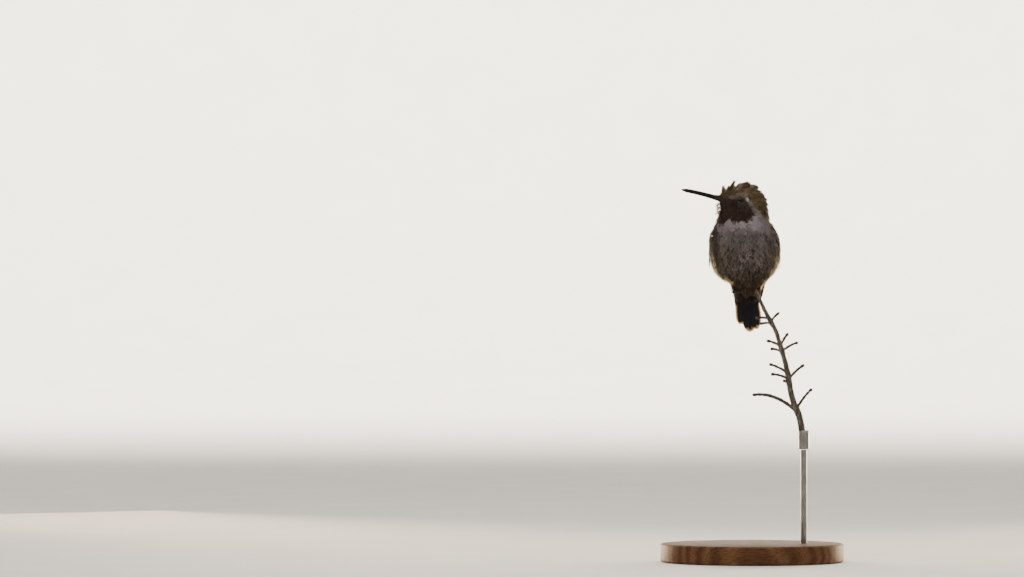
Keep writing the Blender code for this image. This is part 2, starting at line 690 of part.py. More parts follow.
def turned(name, profile, slot, group, place, sides=24):
    """A turned shape: its profile runs from the axis at the top, down its outside, to the axis."""
    bm = bmesh.new()
    edge = [bm.verts.new((radius, 0, height)) for radius, height in profile]
    for a, b in zip(edge, edge[1:]):
        bm.edges.new((a, b))
    made = add_mesh(name, bm, slot, group, smooth=False)
    screw = made.modifiers.new("turn", "SCREW")
    screw.steps = screw.render_steps = sides
    screw.use_merge_vertices = True
    screw.merge_threshold = 1e-5
    screw.use_smooth_shade = False
    made.location = Vector(place) * MM
    return made


def make_stand(parts, cutters):
    foot, stem_radius, _ = stem_at(STEM[-1][0][2])
    rod_x, rod_y = foot.x, foot.y
    bpy.ops.mesh.primitive_cylinder_add(
        vertices=48, radius=BASE_RADIUS * MM, depth=BASE_HEIGHT * MM, location=(0, 0, BASE_HEIGHT * MM / 2))
    base = bpy.context.active_object
    base.name = base.data.name = "stand_base"
    base.users_collection[0].objects.unlink(base)
    parts.objects.link(base)
    base.data.materials.append(material("stand_wood"))
    bevel = base.modifiers.new("rounded_edges", "BEVEL")
    bevel.width = BASE_BEVEL * MM
    bevel.segments = 2
    bevel.limit_method = "ANGLE"
    socket = turned("rod_socket", [(0, 1.0), (ROD_RADIUS + GAP, 1.0), (ROD_RADIUS + GAP, -ROD_SOCKET - GAP),
                                   (0, -ROD_SOCKET - GAP)], None, cutters, (rod_x, rod_y, BASE_HEIGHT))
    boolean(base, socket, "DIFFERENCE")
    collar_low = foot.z - GAP - COLLAR_FLOOR
    rod_low = BASE_HEIGHT - ROD_SOCKET
    rod_length = collar_low - GAP - rod_low
    turned("stand_rod", [(0, rod_length), (ROD_RADIUS, rod_length), (ROD_RADIUS, 0), (0, 0)],
           "stand_steel", parts, (rod_x, rod_y, rod_low))
    collar = turned("stand_collar", [(0, COLLAR_HEIGHT), (COLLAR_RADIUS - 0.5, COLLAR_HEIGHT),
                                     (COLLAR_RADIUS, COLLAR_HEIGHT - 0.5), (COLLAR_RADIUS, 0.4),
                                     (COLLAR_RADIUS - 0.4, 0), (0, 0)],
                    "stand_steel", parts, (rod_x, rod_y, collar_low))
    points, radii = stem_route()
    inside = [(point, radius) for point, radius in zip(points, radii)
              if point.z < foot.z + COLLAR_HEIGHT + 4]
    route = [point for point, _ in inside]
    route.append(route[-1] + (route[-1] - route[-2]).normalized() * GAP)
    room = tube("stem_room", route, [radius + GAP for _, radius in inside] + [stem_radius + GAP],
                None, cutters, resolution=2)
    boolean(collar, room, "DIFFERENCE")


def main():
    for item in list(bpy.data.objects):
        bpy.data.objects.remove(item)
    parts = collection("hummingbird")
    cutters = collection("cutters")
    head, neck, trunk, vent = make_coat(parts, cutters)
    make_tufts(head, cutters)
    make_eyes(head, parts, cutters)
    make_bill(head, parts, cutters)
    make_wings((neck, trunk, vent), parts, cutters)
    make_tail(vent, parts, cutters)
    make_stem(parts, cutters)
    make_legs(parts, cutters)
    make_stand(parts, cutters)


main()
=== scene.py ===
"""Looks of a male Anna's hummingbird, fluffed up on the cut end of a stem, on a display stand.

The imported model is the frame. Lengths are in millimetres, as in the part's source, and are turned
into metres when a mesh is made. The coat is made of barbed feathers, each a few narrow strips that
leave a shaft, rooted on one skin that lies inside the solids by the coat's depth.
"""
import math

import bpy
import numpy as np
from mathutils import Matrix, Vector
from mathutils.bvhtree import BVHTree
from mathutils.kdtree import KDTree


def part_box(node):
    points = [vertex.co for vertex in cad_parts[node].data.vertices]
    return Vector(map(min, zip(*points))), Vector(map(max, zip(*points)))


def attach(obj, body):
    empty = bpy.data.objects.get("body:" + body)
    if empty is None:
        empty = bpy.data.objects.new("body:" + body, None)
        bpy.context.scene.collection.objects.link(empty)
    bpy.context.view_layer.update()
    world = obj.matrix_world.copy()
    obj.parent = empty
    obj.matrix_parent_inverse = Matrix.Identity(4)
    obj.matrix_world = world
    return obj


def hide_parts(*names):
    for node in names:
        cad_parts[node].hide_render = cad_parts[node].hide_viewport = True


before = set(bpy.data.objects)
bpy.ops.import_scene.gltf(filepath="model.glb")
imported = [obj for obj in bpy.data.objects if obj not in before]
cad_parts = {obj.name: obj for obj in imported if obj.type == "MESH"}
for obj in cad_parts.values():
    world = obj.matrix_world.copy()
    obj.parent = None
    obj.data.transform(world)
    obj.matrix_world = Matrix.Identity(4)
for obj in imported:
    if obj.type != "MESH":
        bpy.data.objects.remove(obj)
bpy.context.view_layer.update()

MM = 0.001
RNG = np.random.default_rng(41)

# Camera and stage
CAMERA_PLACE = (-115.2, -3000.0, 131.3)
VIEW_WIDTH = 491.5  # what the camera sees across at the bird
FLOOR_RADIUS = 3600.0
BACKDROP_CURVE = 900.0
BACKDROP_HEIGHT = 3200.0

# Body, as in the part's source: height, x and y of the centre, half width, half depth and turn of
# each section of the coat, from the grip
GRIP = np.array((1.4, -1.0, 131.0))
SECTIONS = np.array((
    (-2.0, -3.9, 7.2, 0.0, 0.0, 0.0),
    (-1.6, -3.9, 6.8, 4.0, 3.2, 0.0),
    (-0.4, -4.0, 5.3, 6.4, 6.2, 0.0),
    (1.6, -4.0, 3.7, 7.8, 8.2, 0.0),
    (3.8, -4.0, 2.8, 9.3, 9.6, 0.0),
    (6.2, -4.7, 2.7, 12.0, 10.6, 0.0),
    (9.1, -4.8, 2.2, 14.4, 12.0, 0.0),
    (12.4, -4.8, 1.3, 15.9, 13.3, 0.0),
    (17.8, -4.9, -0.5, 16.8, 14.5, 0.0),
    (23.5, -5.0, -2.8, 16.6, 14.2, 2.0),
    (28.9, -5.5, -5.0, 15.2, 12.9, 7.0),
    (33.0, -6.0, -6.4, 13.4, 11.6, 15.0),
    (37.4, -6.0, -7.0, 12.6, 10.6, 22.0),
    (41.8, -6.6, -7.0, 12.3, 10.3, 22.0),
    (45.1, -7.1, -7.0, 11.0, 9.6, 22.0),
    (47.5, -7.1, -6.9, 9.1, 8.1, 22.0),
    (49.3, -6.7, -6.8, 6.3, 5.8, 22.0),
    (50.3, -6.4, -6.7, 3.0, 2.8, 22.0),
    (50.5, -6.4, -6.7, 0.0, 0.0, 22.0),
))
HEAD = GRIP + (-6.6, -7.0, 41.6)
HEAD_TURN = math.radians(22.0)
HEAD_RISE = math.radians(13.0)
# Soft bulges and hollows of the head, as in the part's source: forward, left and up from its
# centre, radius, and height (- is in)
SWELLS = (
    ((11.2, 0.0, -0.2), 3.6, 2.2),
    ((8.6, 5.2, 0.8), 3.0, -0.7),
    ((8.6, -5.2, 0.8), 3.0, -0.7),
    ((5.0, 9.2, 5.0), 2.6, 0.6),
    ((5.0, -9.2, 5.0), 2.6, 0.6),
    ((2.6, 9.8, -3.2), 3.6, 0.5),
    ((2.6, -9.8, -3.2), 3.6, 0.5),
    ((10.4, 0.0, -4.6), 3.4, 0.5),
    ((6.6, 0.0, 6.8), 4.0, -2.1),
    ((9.2, 0.0, 5.0), 2.6, -0.5),
    ((12.8, 0.0, 2.6), 2.4, -1.1),
    ((10.4, 4.4, -2.2), 4.2, -3.4),
    ((10.4, -4.4, -2.2), 4.2, -3.4),
    ((9.8, 3.6, -7.0), 3.0, -1.0),
    ((9.8, -3.6, -7.0), 3.0, -1.0),
)
EYE_PLACE = (4.5, 7.7, -0.5)  # forward, left and up from the head's centre
EYE_RADIUS = 1.9
# Raised crown feathers: root forward, left and up, length, and lean back from upright in degrees
TUFTS = (
    (10.8, 0.0, 2.6, 3.8, 19.0),
    (9.2, 0.3, 3.7, 4.0, 22.0),
    (8.0, 0.0, 4.4, 6.0, 31.0),
    (3.6, 0.4, 6.0, 2.8, 50.0),
    (2.2, -0.4, 6.6, 2.8, 62.0),
)
SPIKES = 5  # for each row of TUFTS
SPIKE_FEATHERS = 9
CHIN_WISPS = 90
BILL_ROOT_FEATHERS = 170

BILL_LENGTH = 19.9
BILL_ROOT = (12.4, 0.0, -1.15)
BILL_HALF_WIDTH = 1.25
BILL_HALF_DEPTH = 1.22
BILL_TIP_SHARE = 0.70  # its thickness at the tip, as a share of the root's
BILL_BOW = 0.28  # how far its middle arches up
BILL_DROOP = 0.3  # how far its tip hangs
BILL_POINT = 0.13  # the share of its length that narrows to a point

# Wings, as in the part's source: height, distance out and y of the front edge and of the rear
# edge, and half the thickness
WING_MIDDLE = -4.9
WING_ROWS = np.array((
    (33.0, 9.6, -2.0, 7.8, 1.6, 0.45),
    (31.0, 12.6, -4.6, 8.2, 5.4, 0.85),
    (27.6, 15.3, -5.0, 8.8, 8.4, 0.95),
    (23.0, 16.2, -2.6, 9.0, 11.6, 0.90),
    (17.0, 16.2, 1.2, 8.6, 14.0, 0.85),
    (11.0, 13.8, 5.6, 7.2, 15.6, 0.80),
    (5.5, 10.6, 9.6, 5.6, 16.1, 0.75),
    (0.0, 8.1, 12.4, 4.2, 16.4, 0.65),
    (-6.0, 6.6, 14.8, 3.0, 17.4, 0.55),
    (-12.0, 5.2, 17.0, 2.2, 18.8, 0.45),
    (-15.4, 4.2, 18.6, 2.0, 19.6, 0.36),
    (-17.0, 3.4, 19.6, 2.4, 19.9, 0.28),
))
WING_BULGE = 0.17  # how far a section bows out, as a share of its width
WING_SLANT = 0.35  # rise of a section from its front edge to its rear one, as a share of its width
RIGHT_WING_TUCK = 0.62  # how close to the middle the right wing's lower end lies
TUCK_HEIGHTS = (3.0, 14.0)
RIGHT_WRIST = (29.0, 2.6, 1.4)  # where the right wing's wrist stands out: height, reach and how far
LEFT_FLARE = (-1.5, 5.0, 1.3)  # where the left wing's edge stands out beside the tail, in the same way

# Stem, as in the part's source: x, y and height of its centre from the grip, and its radius
STEM = np.array((
    (-2.4, 0.0, 6.2, 0.60),
    (0.0, 0.0, 0.5, 0.70),
    (2.4, -0.2, -5.3, 0.82),
    (5.8, -0.3, -12.5, 0.95),
    (9.8, -0.2, -19.7, 1.00),
    (12.1, 0.2, -26.9, 1.05),
    (15.2, 0.6, -37.9, 1.20),
    (17.8, 0.8, -51.8, 1.40),
    (21.6, 0.9, -62.4, 1.50),
    (23.4, 0.9, -74.5, 1.60),
))
# Side shoots, as there: height, length, rise in degrees and compass turn in degrees (0 is +X)
SHOOTS = (
    (-3.2, 12.2, 8.5, 184.0),
    (-14.2, 6.2, 3.0, 200.0),
    (-16.4, 5.2, -2.0, 168.0),
    (-15.6, 5.4, 47.0, 12.0),
    (-27.2, 6.6, 57.0, 20.0),
    (-29.8, 8.6, 28.0, -24.0),
    (-27.4, 6.8, 22.0, 192.0),
    (-30.1, 5.6, 14.0, 158.0),
    (-40.4, 9.4, 27.0, 176.0),
    (-43.3, 9.2, 16.0, 205.0),
    (-45.5, 3.0, 29.0, 180.0),
    (-43.2, 9.8, 42.0, 14.0),
    (-57.5, 11.8, 52.0, -16.0),
    (-59.4, 23.0, 22.0, 182.0),
)
SHOOT_RADIUS = 0.46
SHOOT_ARCH = 0.06  # how far a shoot's middle arches up, as a share of its length
LONG_SHOOT = 15.0
LONG_SHOOT_ARCH = 0.13
BUD_RADIUS = 0.72

# Tail, as in the part's source
TAIL_ROOT = GRIP + (-4.0, 8.2, -0.4)
TAIL_DIRECTION = (0.10, 0.36, -1.0)
TAIL_LENGTH = 21.9
TAIL_LONGEST_AT = 0.6
TAIL_DROP = 0.21  # how much sooner a feather ends, per square millimetre off the longest
TAIL_BOW = 0.022

# Colours, linear
BRONZE = (0.080, 0.053, 0.026)
BRONZE_EDGE = (0.145, 0.092, 0.040)
GREEN_FLECK = (0.050, 0.095, 0.034)
RED_FLECK = (0.110, 0.020, 0.018)
GORGET = (0.040, 0.025, 0.019)
GORGET_FLECK = (0.105, 0.018, 0.034)
CHEEK = (0.052, 0.036, 0.025)
BROW = (0.190, 0.155, 0.125)
WHITE = (0.500, 0.470, 0.440)
TRAIL = (0.200, 0.165, 0.135)
BAND = (0.285, 0.247, 0.270)
BAND_EDGE = (0.380, 0.340, 0.365)
BELLY = (0.050, 0.038, 0.030)
BELLY_EDGE = (0.190, 0.160, 0.142)
LOWER = (0.028, 0.018, 0.011)
LOWER_EDGE = (0.070, 0.050, 0.032)
FLANK = (0.050, 0.042, 0.024)
FLANK_EDGE = (0.130, 0.108, 0.070)
# Pale flank down, warmed and brightened into a painted glow of light from behind
FRINGE_AND_BACK_GLOW = (0.740, 0.560, 0.350)
BACK = (0.026, 0.050, 0.020)
BACK_EDGE = (0.070, 0.072, 0.034)
WING = (0.030, 0.023, 0.020)
WING_EDGE = (0.060, 0.047, 0.037)
TAIL = (0.008, 0.007, 0.010)
# The tail's pale grey edges and tips, warmed and brightened into a painted glow of light from behind
TAIL_EDGE_AND_BACK_GLOW = (0.660, 0.430, 0.190)


# ---------------------------------------------------------------- numbers

def eased(rows, t):
    """Catmull-Rom values through equally spaced rows, at each t."""
    t = np.clip(np.asarray(t, float), 0, len(rows) - 1)
    i = np.minimum(t.astype(int), len(rows) - 2)
    f = (t - i)[:, None]
    a, b = rows[np.maximum(i - 1, 0)], rows[i]
    c, d = rows[i + 1], rows[np.minimum(i + 2, len(rows) - 1)]
    slope_b, slope_c, rise = (c - a) / 2, (d - b) / 2, c - b
    return (b + f * slope_b + f * f * (3 * rise - 2 * slope_b - slope_c)
            + f ** 3 * (slope_b + slope_c - 2 * rise))


def step(low, high, value):
    """0 below low, 1 above high, and smooth between. low may be the larger."""
    share = np.clip((np.asarray(value, float) - low) / (high - low), 0, 1)
    return share * share * (3 - 2 * share)


def unit(vectors):
    return vectors / np.maximum(np.linalg.norm(vectors, axis=-1, keepdims=True), 1e-9)


def blend(a, b, share):
    """Colours, or other rows, from a to b by share."""
    share = np.asarray(share)[..., None]
    return np.asarray(a) * (1 - share) + np.asarray(b) * share


def paint(colours, centre, edge, share, weights=(1.0, 1.0)):
    """Centre and edge colours turned towards two others by share times each one's weight."""
    return blend(colours[0], centre, weights[0] * share), blend(colours[1], edge, weights[1] * share)


def inset(places):
    """Places in the OFBake unwrap, from 0 to 1, drawn in from its border."""
    return 0.02 + 0.96 * places


def flat_to(normals, vectors):
    """The part of each vector that lies in the surface."""
    return vectors - normals * np.sum(normals * vectors, axis=-1, keepdims=True)


# ---------------------------------------------------------------- body surface

FORWARD = np.array((-math.cos(HEAD_TURN) * math.cos(HEAD_RISE),
                    -math.sin(HEAD_TURN) * math.cos(HEAD_RISE), math.sin(HEAD_RISE)))
LEFT = unit(np.cross((0, 0, 1), FORWARD))
HEAD_AXES = np.array((FORWARD, LEFT, np.cross(FORWARD, LEFT)))


def to_head(points):
    return (points - HEAD) @ HEAD_AXES.T


def from_head(local):
    return HEAD + np.asarray(local) @ HEAD_AXES


def to_body(points):
    """How far each point lies to the left of the body's middle, and behind and above the grip."""
    x, y, z = (points - GRIP).T
    return x - WING_MIDDLE, y, z


def section_at(heights):
    """Which section of the coat lies at each height above the grip, with shares between them."""
    return np.interp(heights, SECTIONS[:, 0], np.arange(len(SECTIONS)))


def coat_points(t, angle):
    """Points of the coat's outside: t counts the sections, and angle goes round from +X."""
    rows = eased(SECTIONS, t)
    along, across = rows[:, 3] * np.cos(angle), rows[:, 4] * np.sin(angle)
    turn = np.radians(rows[:, 5])
    points = GRIP + np.stack((rows[:, 1] + along * np.cos(turn) - across * np.sin(turn),
                              rows[:, 2] + along * np.sin(turn) + across * np.cos(turn),
                              rows[:, 0]), 1)
    local = to_head(points)
    moved = local.copy()
    for centre, radius, height in SWELLS:
        near = np.exp(-np.sum((local - centre) ** 2, 1) / radius ** 2)
        moved += near[:, None] * height * unit(np.array(centre))
    return from_head(moved)


def coat_normals(t, angle, small=0.02):
    upward = coat_points(t + small, angle) - coat_points(t - small, angle)
    around = coat_points(t, angle + small) - coat_points(t, angle - small)
    return unit(np.cross(around, upward))


def tree_of(*nodes):
    """A search tree over the faces of some of the frame's nodes, in millimetres."""
    points, faces = [], []
    for name in nodes:
        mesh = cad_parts[name].data
        start = len(points)
        points += [vertex.co / MM for vertex in mesh.vertices]
        faces += [[start + i for i in face.vertices] for face in mesh.polygons]
    return BVHTree.FromPolygons(points, faces)


WINGS = tree_of("wing_left", "wing_right", "wing_left_primaries", "wing_right_primaries")


RAY_START = 2.5  # how far outside the coat a search for a wing begins


def inner_face(point, normal, reach=7.0):
    """How far under a point of the coat's outside a wing's inner face lies, or 0."""
    start = Vector(point) + Vector(normal) * RAY_START
    deepest = 0.0
    travelled = 0.0
    while travelled < reach:
        hit, _, _, distance = WINGS.ray_cast(start, -Vector(normal), reach - travelled)
        if hit is None:
            break
        travelled += distance + 0.01
        deepest = travelled - RAY_START
        start = hit - Vector(normal) * 0.01
    return max(deepest, 0.0)


STEM_LINE = eased(STEM, np.linspace(0, len(STEM) - 1, 400))
SKIN_ROWS, SKIN_SIDES = 150, 144
WING_CLEAR = 0.35  # room between the skin and a wing's inner face
COAT_DEPTH = 1.75
FACE_DEPTH = 0.42
EYE_DEPTH = 0.40


def coat_depth(points, t):
    """How thick the coat is: full on the body, less on the head, and least on the face."""
    f, _, u = to_head(points).T
    depth = COAT_DEPTH - 0.55 * step(9.2, 11.0, t)
    depth = depth - 0.25 * step(11.6, 13.0, t)
    face = step(4.0, 9.0, f) * step(10.6, 12.2, t)
    depth = depth * (1 - face) + FACE_DEPTH * face
    near_eye = step(4.6, 2.2, np.hypot(f - EYE_PLACE[0], u - EYE_PLACE[2])) * step(11.8, 12.4, t)
    depth = depth * (1 - near_eye) + EYE_DEPTH * near_eye
    rows = eased(SECTIONS, t)
    return np.minimum(depth, 0.22 * np.minimum(rows[:, 3], rows[:, 4]) + 0.05)


def skin_grid():
    """The skin's points row by row, with their depth under the coat's outside."""
    t = np.linspace(0.12, len(SECTIONS) - 1.12, SKIN_ROWS)
    angle = np.arange(SKIN_SIDES) * math.tau / SKIN_SIDES
    tt, aa = [part.ravel() for part in np.meshgrid(t, angle, indexing="ij")]
    outside = coat_points(tt, aa)
    normals = coat_normals(tt, aa)
    depth = coat_depth(outside, tt)
    under = np.array([inner_face(p, n) for p, n in zip(outside, normals)])
    depth = np.maximum(depth, np.where(under > 0, under + WING_CLEAR, 0))
    depth = depth.reshape(SKIN_ROWS, SKIN_SIDES)
    for _ in range(3):
        padded = np.pad(depth, ((1, 1), (0, 0)), mode="edge")
        smooth = (padded[:-2] + padded[2:] + np.roll(depth, 1, 1) + np.roll(depth, -1, 1)) / 4
        depth = np.maximum(depth, smooth)
    points = outside - normals * depth.reshape(-1, 1)
    return points.reshape(SKIN_ROWS, SKIN_SIDES, 3), normals.reshape(SKIN_ROWS, SKIN_SIDES, 3), depth, t


SKIN, SKIN_NORMALS, SKIN_DEPTH, SKIN_T = skin_grid()


def skin_lengths():
    """How far up the skin each row is, from 0 to 1, by the mean distance between rows."""
    steps = np.linalg.norm(np.diff(SKIN, axis=0), axis=2).mean(1)
    total = np.concatenate(((0,), np.cumsum(steps)))
    return total / total[-1]


SKIN_V = skin_lengths()


def on_skin(row, side):
    """Skin points, outward normals, coat depths, t, angles and unwrap places at each row and side."""
    i = np.clip(row.astype(int), 0, SKIN_ROWS - 2)
    f = (row - i)[:, None]
    j = side.astype(int) % SKIN_SIDES
    k = (j + 1) % SKIN_SIDES
    g = (side - np.floor(side))[:, None]

    def at(grid):
        lower = grid[i, j] * (1 - g) + grid[i, k] * g
        upper = grid[i + 1, j] * (1 - g) + grid[i + 1, k] * g
        return lower * (1 - f) + upper * f

    t = np.interp(row, np.arange(SKIN_ROWS), SKIN_T)
    places = np.stack((side / SKIN_SIDES, np.interp(row, np.arange(SKIN_ROWS), SKIN_V)), 1)
    return (at(SKIN), unit(at(SKIN_NORMALS)), at(SKIN_DEPTH[..., None])[:, 0], t,
            side * math.tau / SKIN_SIDES, inset(places))


# ---------------------------------------------------------------- markings

# The pale trail behind the eye and the brow, as lines in the head's side view, forward and up
TRAIL_LINE = np.array(((1.8, 1.1), (0.6, -0.3), (-2.4, -2.1), (-6.0, -3.8), (-9.6, -5.9), (-14.0, -7.6)))
BROW_LINE = np.array(((8.1, 0.9), (5.7, 2.6), (2.9, 2.3)))
# The gorget's lower edge on the bird's left and right: degrees from straight ahead, and height from
# the head's centre
GORGET_RIGHT = np.array(((0, -11.9), (60, -11.9), (80, -10.0), (96, -6.8), (110, -2.0), (180, 0.0)))
GORGET_LEFT = np.array(((0, -11.9), (24, -12.1), (31, -10.6), (38, -8.6), (46, -9.6), (60, -9.9), (78, -9.4),
                        (88, -8.5), (96, -6.6), (103, -4.2), (110, -2.0), (180, 0.0)))


def from_line(f, u, line):
    """Distance in the head's side view from a line of points, and how far along it."""
    best = np.full(len(f), 1e9)
    along = np.zeros(len(f))
    spots = np.stack((f, u), 1)
    for number, (a, b) in enumerate(zip(line, line[1:])):
        share = np.clip((spots - a) @ (b - a) / np.sum((b - a) ** 2), 0, 1)
        away = np.linalg.norm(spots - (a + share[:, None] * (b - a)), axis=1)
        along = np.where(away < best, number + share, along)
        best = np.minimum(best, away)
    return best, along


WAVES = 14


def ripple(points, size, seed):
    """A smooth random wave over space, from -1 to 1, for ragged borders."""
    waves = np.random.default_rng(seed)
    total = np.zeros(len(points))
    for _ in range(WAVES):
        direction = unit(waves.normal(size=3)) * math.tau / size * waves.uniform(0.6, 1.9)
        total += np.sin(points @ direction + waves.uniform(0, math.tau))
    return total / math.sqrt(WAVES)


def body_marks(points, normals):
    """Centre and edge colours of the feathers rooted at points of the body."""
    x, y, z = to_body(points)
    ragged = ripple(points, 5.0, 3)
    sideways = np.abs(normals[:, 0]) / np.maximum(np.hypot(normals[:, 0], normals[:, 1]), 1e-6)

    # Belly: browner low down and at the sides, faintly paler in the middle, and mottled all over
    low = step(13.0, 4.0, z + 1.5 * ragged)
    colours = paint((BELLY, BELLY_EDGE), LOWER, LOWER_EDGE, low)
    side = step(9.5, 14.5, np.abs(x) + ragged) * step(27.0, 20.0, z)
    colours = paint(colours, FLANK, FLANK_EDGE, side, (1.0, 0.8))
    middle = (step(7.0, 2.0, np.abs(x - 0.5) + ragged) * step(-2, -6, y)
              * step(10.0, 14.0, z) * step(25.0, 18.0, z))
    colours = paint(colours, BAND, BAND_EDGE, middle, (0.12, 0.25))
    clumps = 1 + 0.42 * ripple(points * (1, 1, 0.7), 2.4, 19)[:, None]
    colours = [part * clumps for part in colours]

    # Breast: the pale band under the throat, which fades into the belly
    band_low = 30.2 + 1.6 * step(6.0, 14.0, x) + 1.2 * ragged
    band = 0.72 * step(band_low - 3.4, band_low + 2.2, z) + 0.28 * step(17.0, 26.0, z + 1.5 * ragged)
    band = band * step(0.35, -0.05, normals[:, 1])
    colours = paint(colours, BAND, BAND_EDGE, band)

    # Back, which reaches a little round the left shoulder
    shoulder = step(8.5, 12.0, x) * step(25.0, 29.0, z) * step(42.0, 36.0, z)
    rear = (step(0.05, 0.42, normals[:, 1] + 0.08 * ragged + 0.38 * shoulder)
            * step(1.0, 8.0, z + 4 * step(6, 12, y)))
    colours = paint(colours, BACK, BACK_EDGE, rear)

    # Flanks: painted shade where the right wing's edge lies over them, and pale low down on each side, where
    # the warm colour is a painted glow of light from behind
    wing_edge_shade = step(12.6, 14.2, 0.6 * ragged - x) * step(15.0, 20.0, z)
    colours = paint(colours, np.multiply(WING, 1.3), WING_EDGE, wing_edge_shade, (0.8, 0.8))
    # pale and under pick the lower flanks where they turn edge-on at the outline: pale down there, with a
    # painted warm glow of light from behind
    pale = (step(0.91, 0.985, sideways + 0.02 * ragged + 0.03 * (x > 0))
            * step(0.0, 3.0, z) * step(21.0, 16.0, z + ragged))
    under = (step(0.55, 0.80, sideways) * step(8.4, 6.2, z + 0.5 * ragged)
             * step(6.5, 8.5, -x) * step(0.0, 3.0, z))
    under += step(0.82, 0.93, sideways) * step(14.0, 12.0, z + ragged) * step(5.0, 7.5, z) * (x > 0)
    return paint(colours, np.multiply(FRINGE_AND_BACK_GLOW, 0.6), FRINGE_AND_BACK_GLOW, np.maximum(pale, under), (0.8, 0.9))


def gorget_share(f, left, u, ragged):
    """1 on the dark throat patch and cheek, 0 below it."""
    ahead = np.degrees(np.arctan2(left, f))
    border = np.where(ahead > 0, np.interp(ahead, *GORGET_LEFT.T), np.interp(-ahead, *GORGET_RIGHT.T))
    border = border + 0.35 * ragged
    return step(border - 0.35, border + 0.45, u)


def trail_height(f):
    """The height of the pale trail's line at each place along the head."""
    return np.interp(f, TRAIL_LINE[::-1, 0], TRAIL_LINE[::-1, 1])


def head_marks(points, normals):
    """Centre and edge colours of the head's feathers."""
    f, left, u = to_head(points).T
    ragged = ripple(points, 2.6, 7)
    rear = step(2.0, -3.0, f) * step(0.1, 0.6, -(normals @ FORWARD))
    colours = paint(body_marks(points, normals), BACK, BACK_EDGE, rear)

    # Dark throat, face and cheek
    dark = blend(GORGET, CHEEK, step(-3.5, 0.5, u) * step(7.5, 4.0, f))
    colours = paint(colours, dark, np.multiply(dark, 1.7), gorget_share(f, left, u, ragged))

    # Bronze cap, down to the brow in front and to the trail behind
    above = step(-0.2, 1.6, u - trail_height(f) + 0.3 * ragged)
    cap_low = 1.6 - 2.4 * step(6.5, 9.5, f)
    cap = np.maximum(step(cap_low, cap_low + 1.2, u + 0.3 * ragged), above * step(3.0, 1.0, f))
    colours = paint(colours, BRONZE, BRONZE_EDGE, cap)

    # Pale trail, brow and spot behind the eye, on both sides of the head
    sides = np.abs(left) > 3.0
    off, along = from_line(f, u, TRAIL_LINE)
    trail = step(1.0 + 0.32 * along, 0.35 + 0.2 * along, off + 0.25 * ragged) * step(-15.0, -11.0, f) * sides
    colours = paint(colours, TRAIL, BAND, trail, (0.85, 0.8))
    off, _ = from_line(f, u, BROW_LINE)
    brow = step(1.25, 0.55, off + 0.2 * ragged) * sides
    colours = paint(colours, BROW, np.multiply(BROW, 1.5), brow, (0.8, 0.7))
    spot = step(1.1, 0.65, np.hypot(f - 2.3, u - 1.1)) * sides
    return paint(colours, WHITE, WHITE, spot)


def marks(points, normals, t):
    """Centre and edge colours anywhere on the coat: the skin and the feathers both use these."""
    centre_a, edge_a = body_marks(points, normals)
    centre_b, edge_b = head_marks(points, normals)
    head = step(10.15, 10.35, t)
    return blend(centre_a, centre_b, head), blend(edge_a, edge_b, head)


# ---------------------------------------------------------------- feathers

def vane(barbs, aspect, reach, widest=0.62, sides=(1.0, 1.0), ragged=0.06, closed=1.3, loose=0.15,
         bluntness=0.7, seed=0):
    """One feather of unit length along +y, as narrow strips that leave its shaft. aspect is its half
    width; reach is how far forward a strip runs; sides scales the left and right webs; closed is how
    far strips overlap, and loose how much they thin out near their tips. Returns points, faces, and
    two numbers for each point: how near the margin it is, and how far along."""
    rng = np.random.default_rng(seed)
    power = math.log(0.5) / math.log(widest)
    points, faces, margin = [], [], []

    def strip(pairs, tip, shares):
        start = len(points)
        for low, high in pairs:
            points.extend((low, high))
        points.append(tip)
        margin.extend(shares)
        for k in range(start, start + 2 * len(pairs) - 2, 2):
            faces.append((k, k + 1, k + 3, k + 2))
        last = start + 2 * len(pairs) - 2
        faces.append((last, last + 1, last + 2))

    gap = 0.94 / barbs
    for sign, wide in ((-1, sides[0]), (1, sides[1])):
        for number in range(barbs):
            root = 0.03 + 0.955 * (number + 0.5) / barbs
            end = root + reach * (1 - math.exp(-(1 - root) / reach))
            width = aspect * wide * max(math.sin(math.pi * min(end, 0.9995) ** power), 0) ** bluntness
            short = 1 - ragged * rng.random() * 2
            tip = np.array((sign * width * short, root + (end - root) * short))
            base = np.array((0.0, root))
            along = unit(tip - base)
            across = np.array((-along[1], along[0])) * sign
            half = 0.5 * gap * closed * abs(along[0]) + 0.10 * gap
            wave = 0.010 * rng.uniform(-1, 1)
            lag = -0.10 * (end - root)
            middle = base + (tip - base) * 0.52 + (0.0, lag)
            outer = base + (tip - base) * (0.96 - 0.3 * loose) + (0.0, lag * 0.3)
            thin = half * (1 - loose)
            strip((((0.0, root - half * 0.9, 0.0), (0.0, root + half * 0.9, 0.0)),
                   ((*(middle - across * half), wave), (*(middle + across * half), wave + 0.006)),
                   ((*(outer - across * thin), wave), (*(outer + across * thin), wave + 0.004))),
                  (*tip, wave), (0.0, 0.0, 0.5, 0.5, 0.8, 0.8, 1.0))
    shaft = 0.010 + 0.02 * aspect
    thin = shaft * 0.6
    strip((((-shaft, 0.0, 0.012), (shaft, 0.0, 0.012)), ((-thin, 0.55, 0.012), (thin, 0.55, 0.012))),
          (0.0, 0.92, 0.006), (0.0, 0.0, 0.0, 0.0, 0.4))
    points = np.array(points)
    return points, faces, np.array(margin), np.clip(points[:, 1], 0, 1)


def vanes(count, first_seed, *shape, **options):
    """Several feathers that differ only in their raggedness."""
    return [vane(*shape, seed=first_seed + number, **options) for number in range(count)]


def edge_share(margin, along, rim):
    """How much of its edge colour each point of a feather takes. rim is where the edge begins."""
    return np.maximum(step(rim, 1.0, margin) * step(0.15, 0.6, along), step(0.84, 0.99, along))


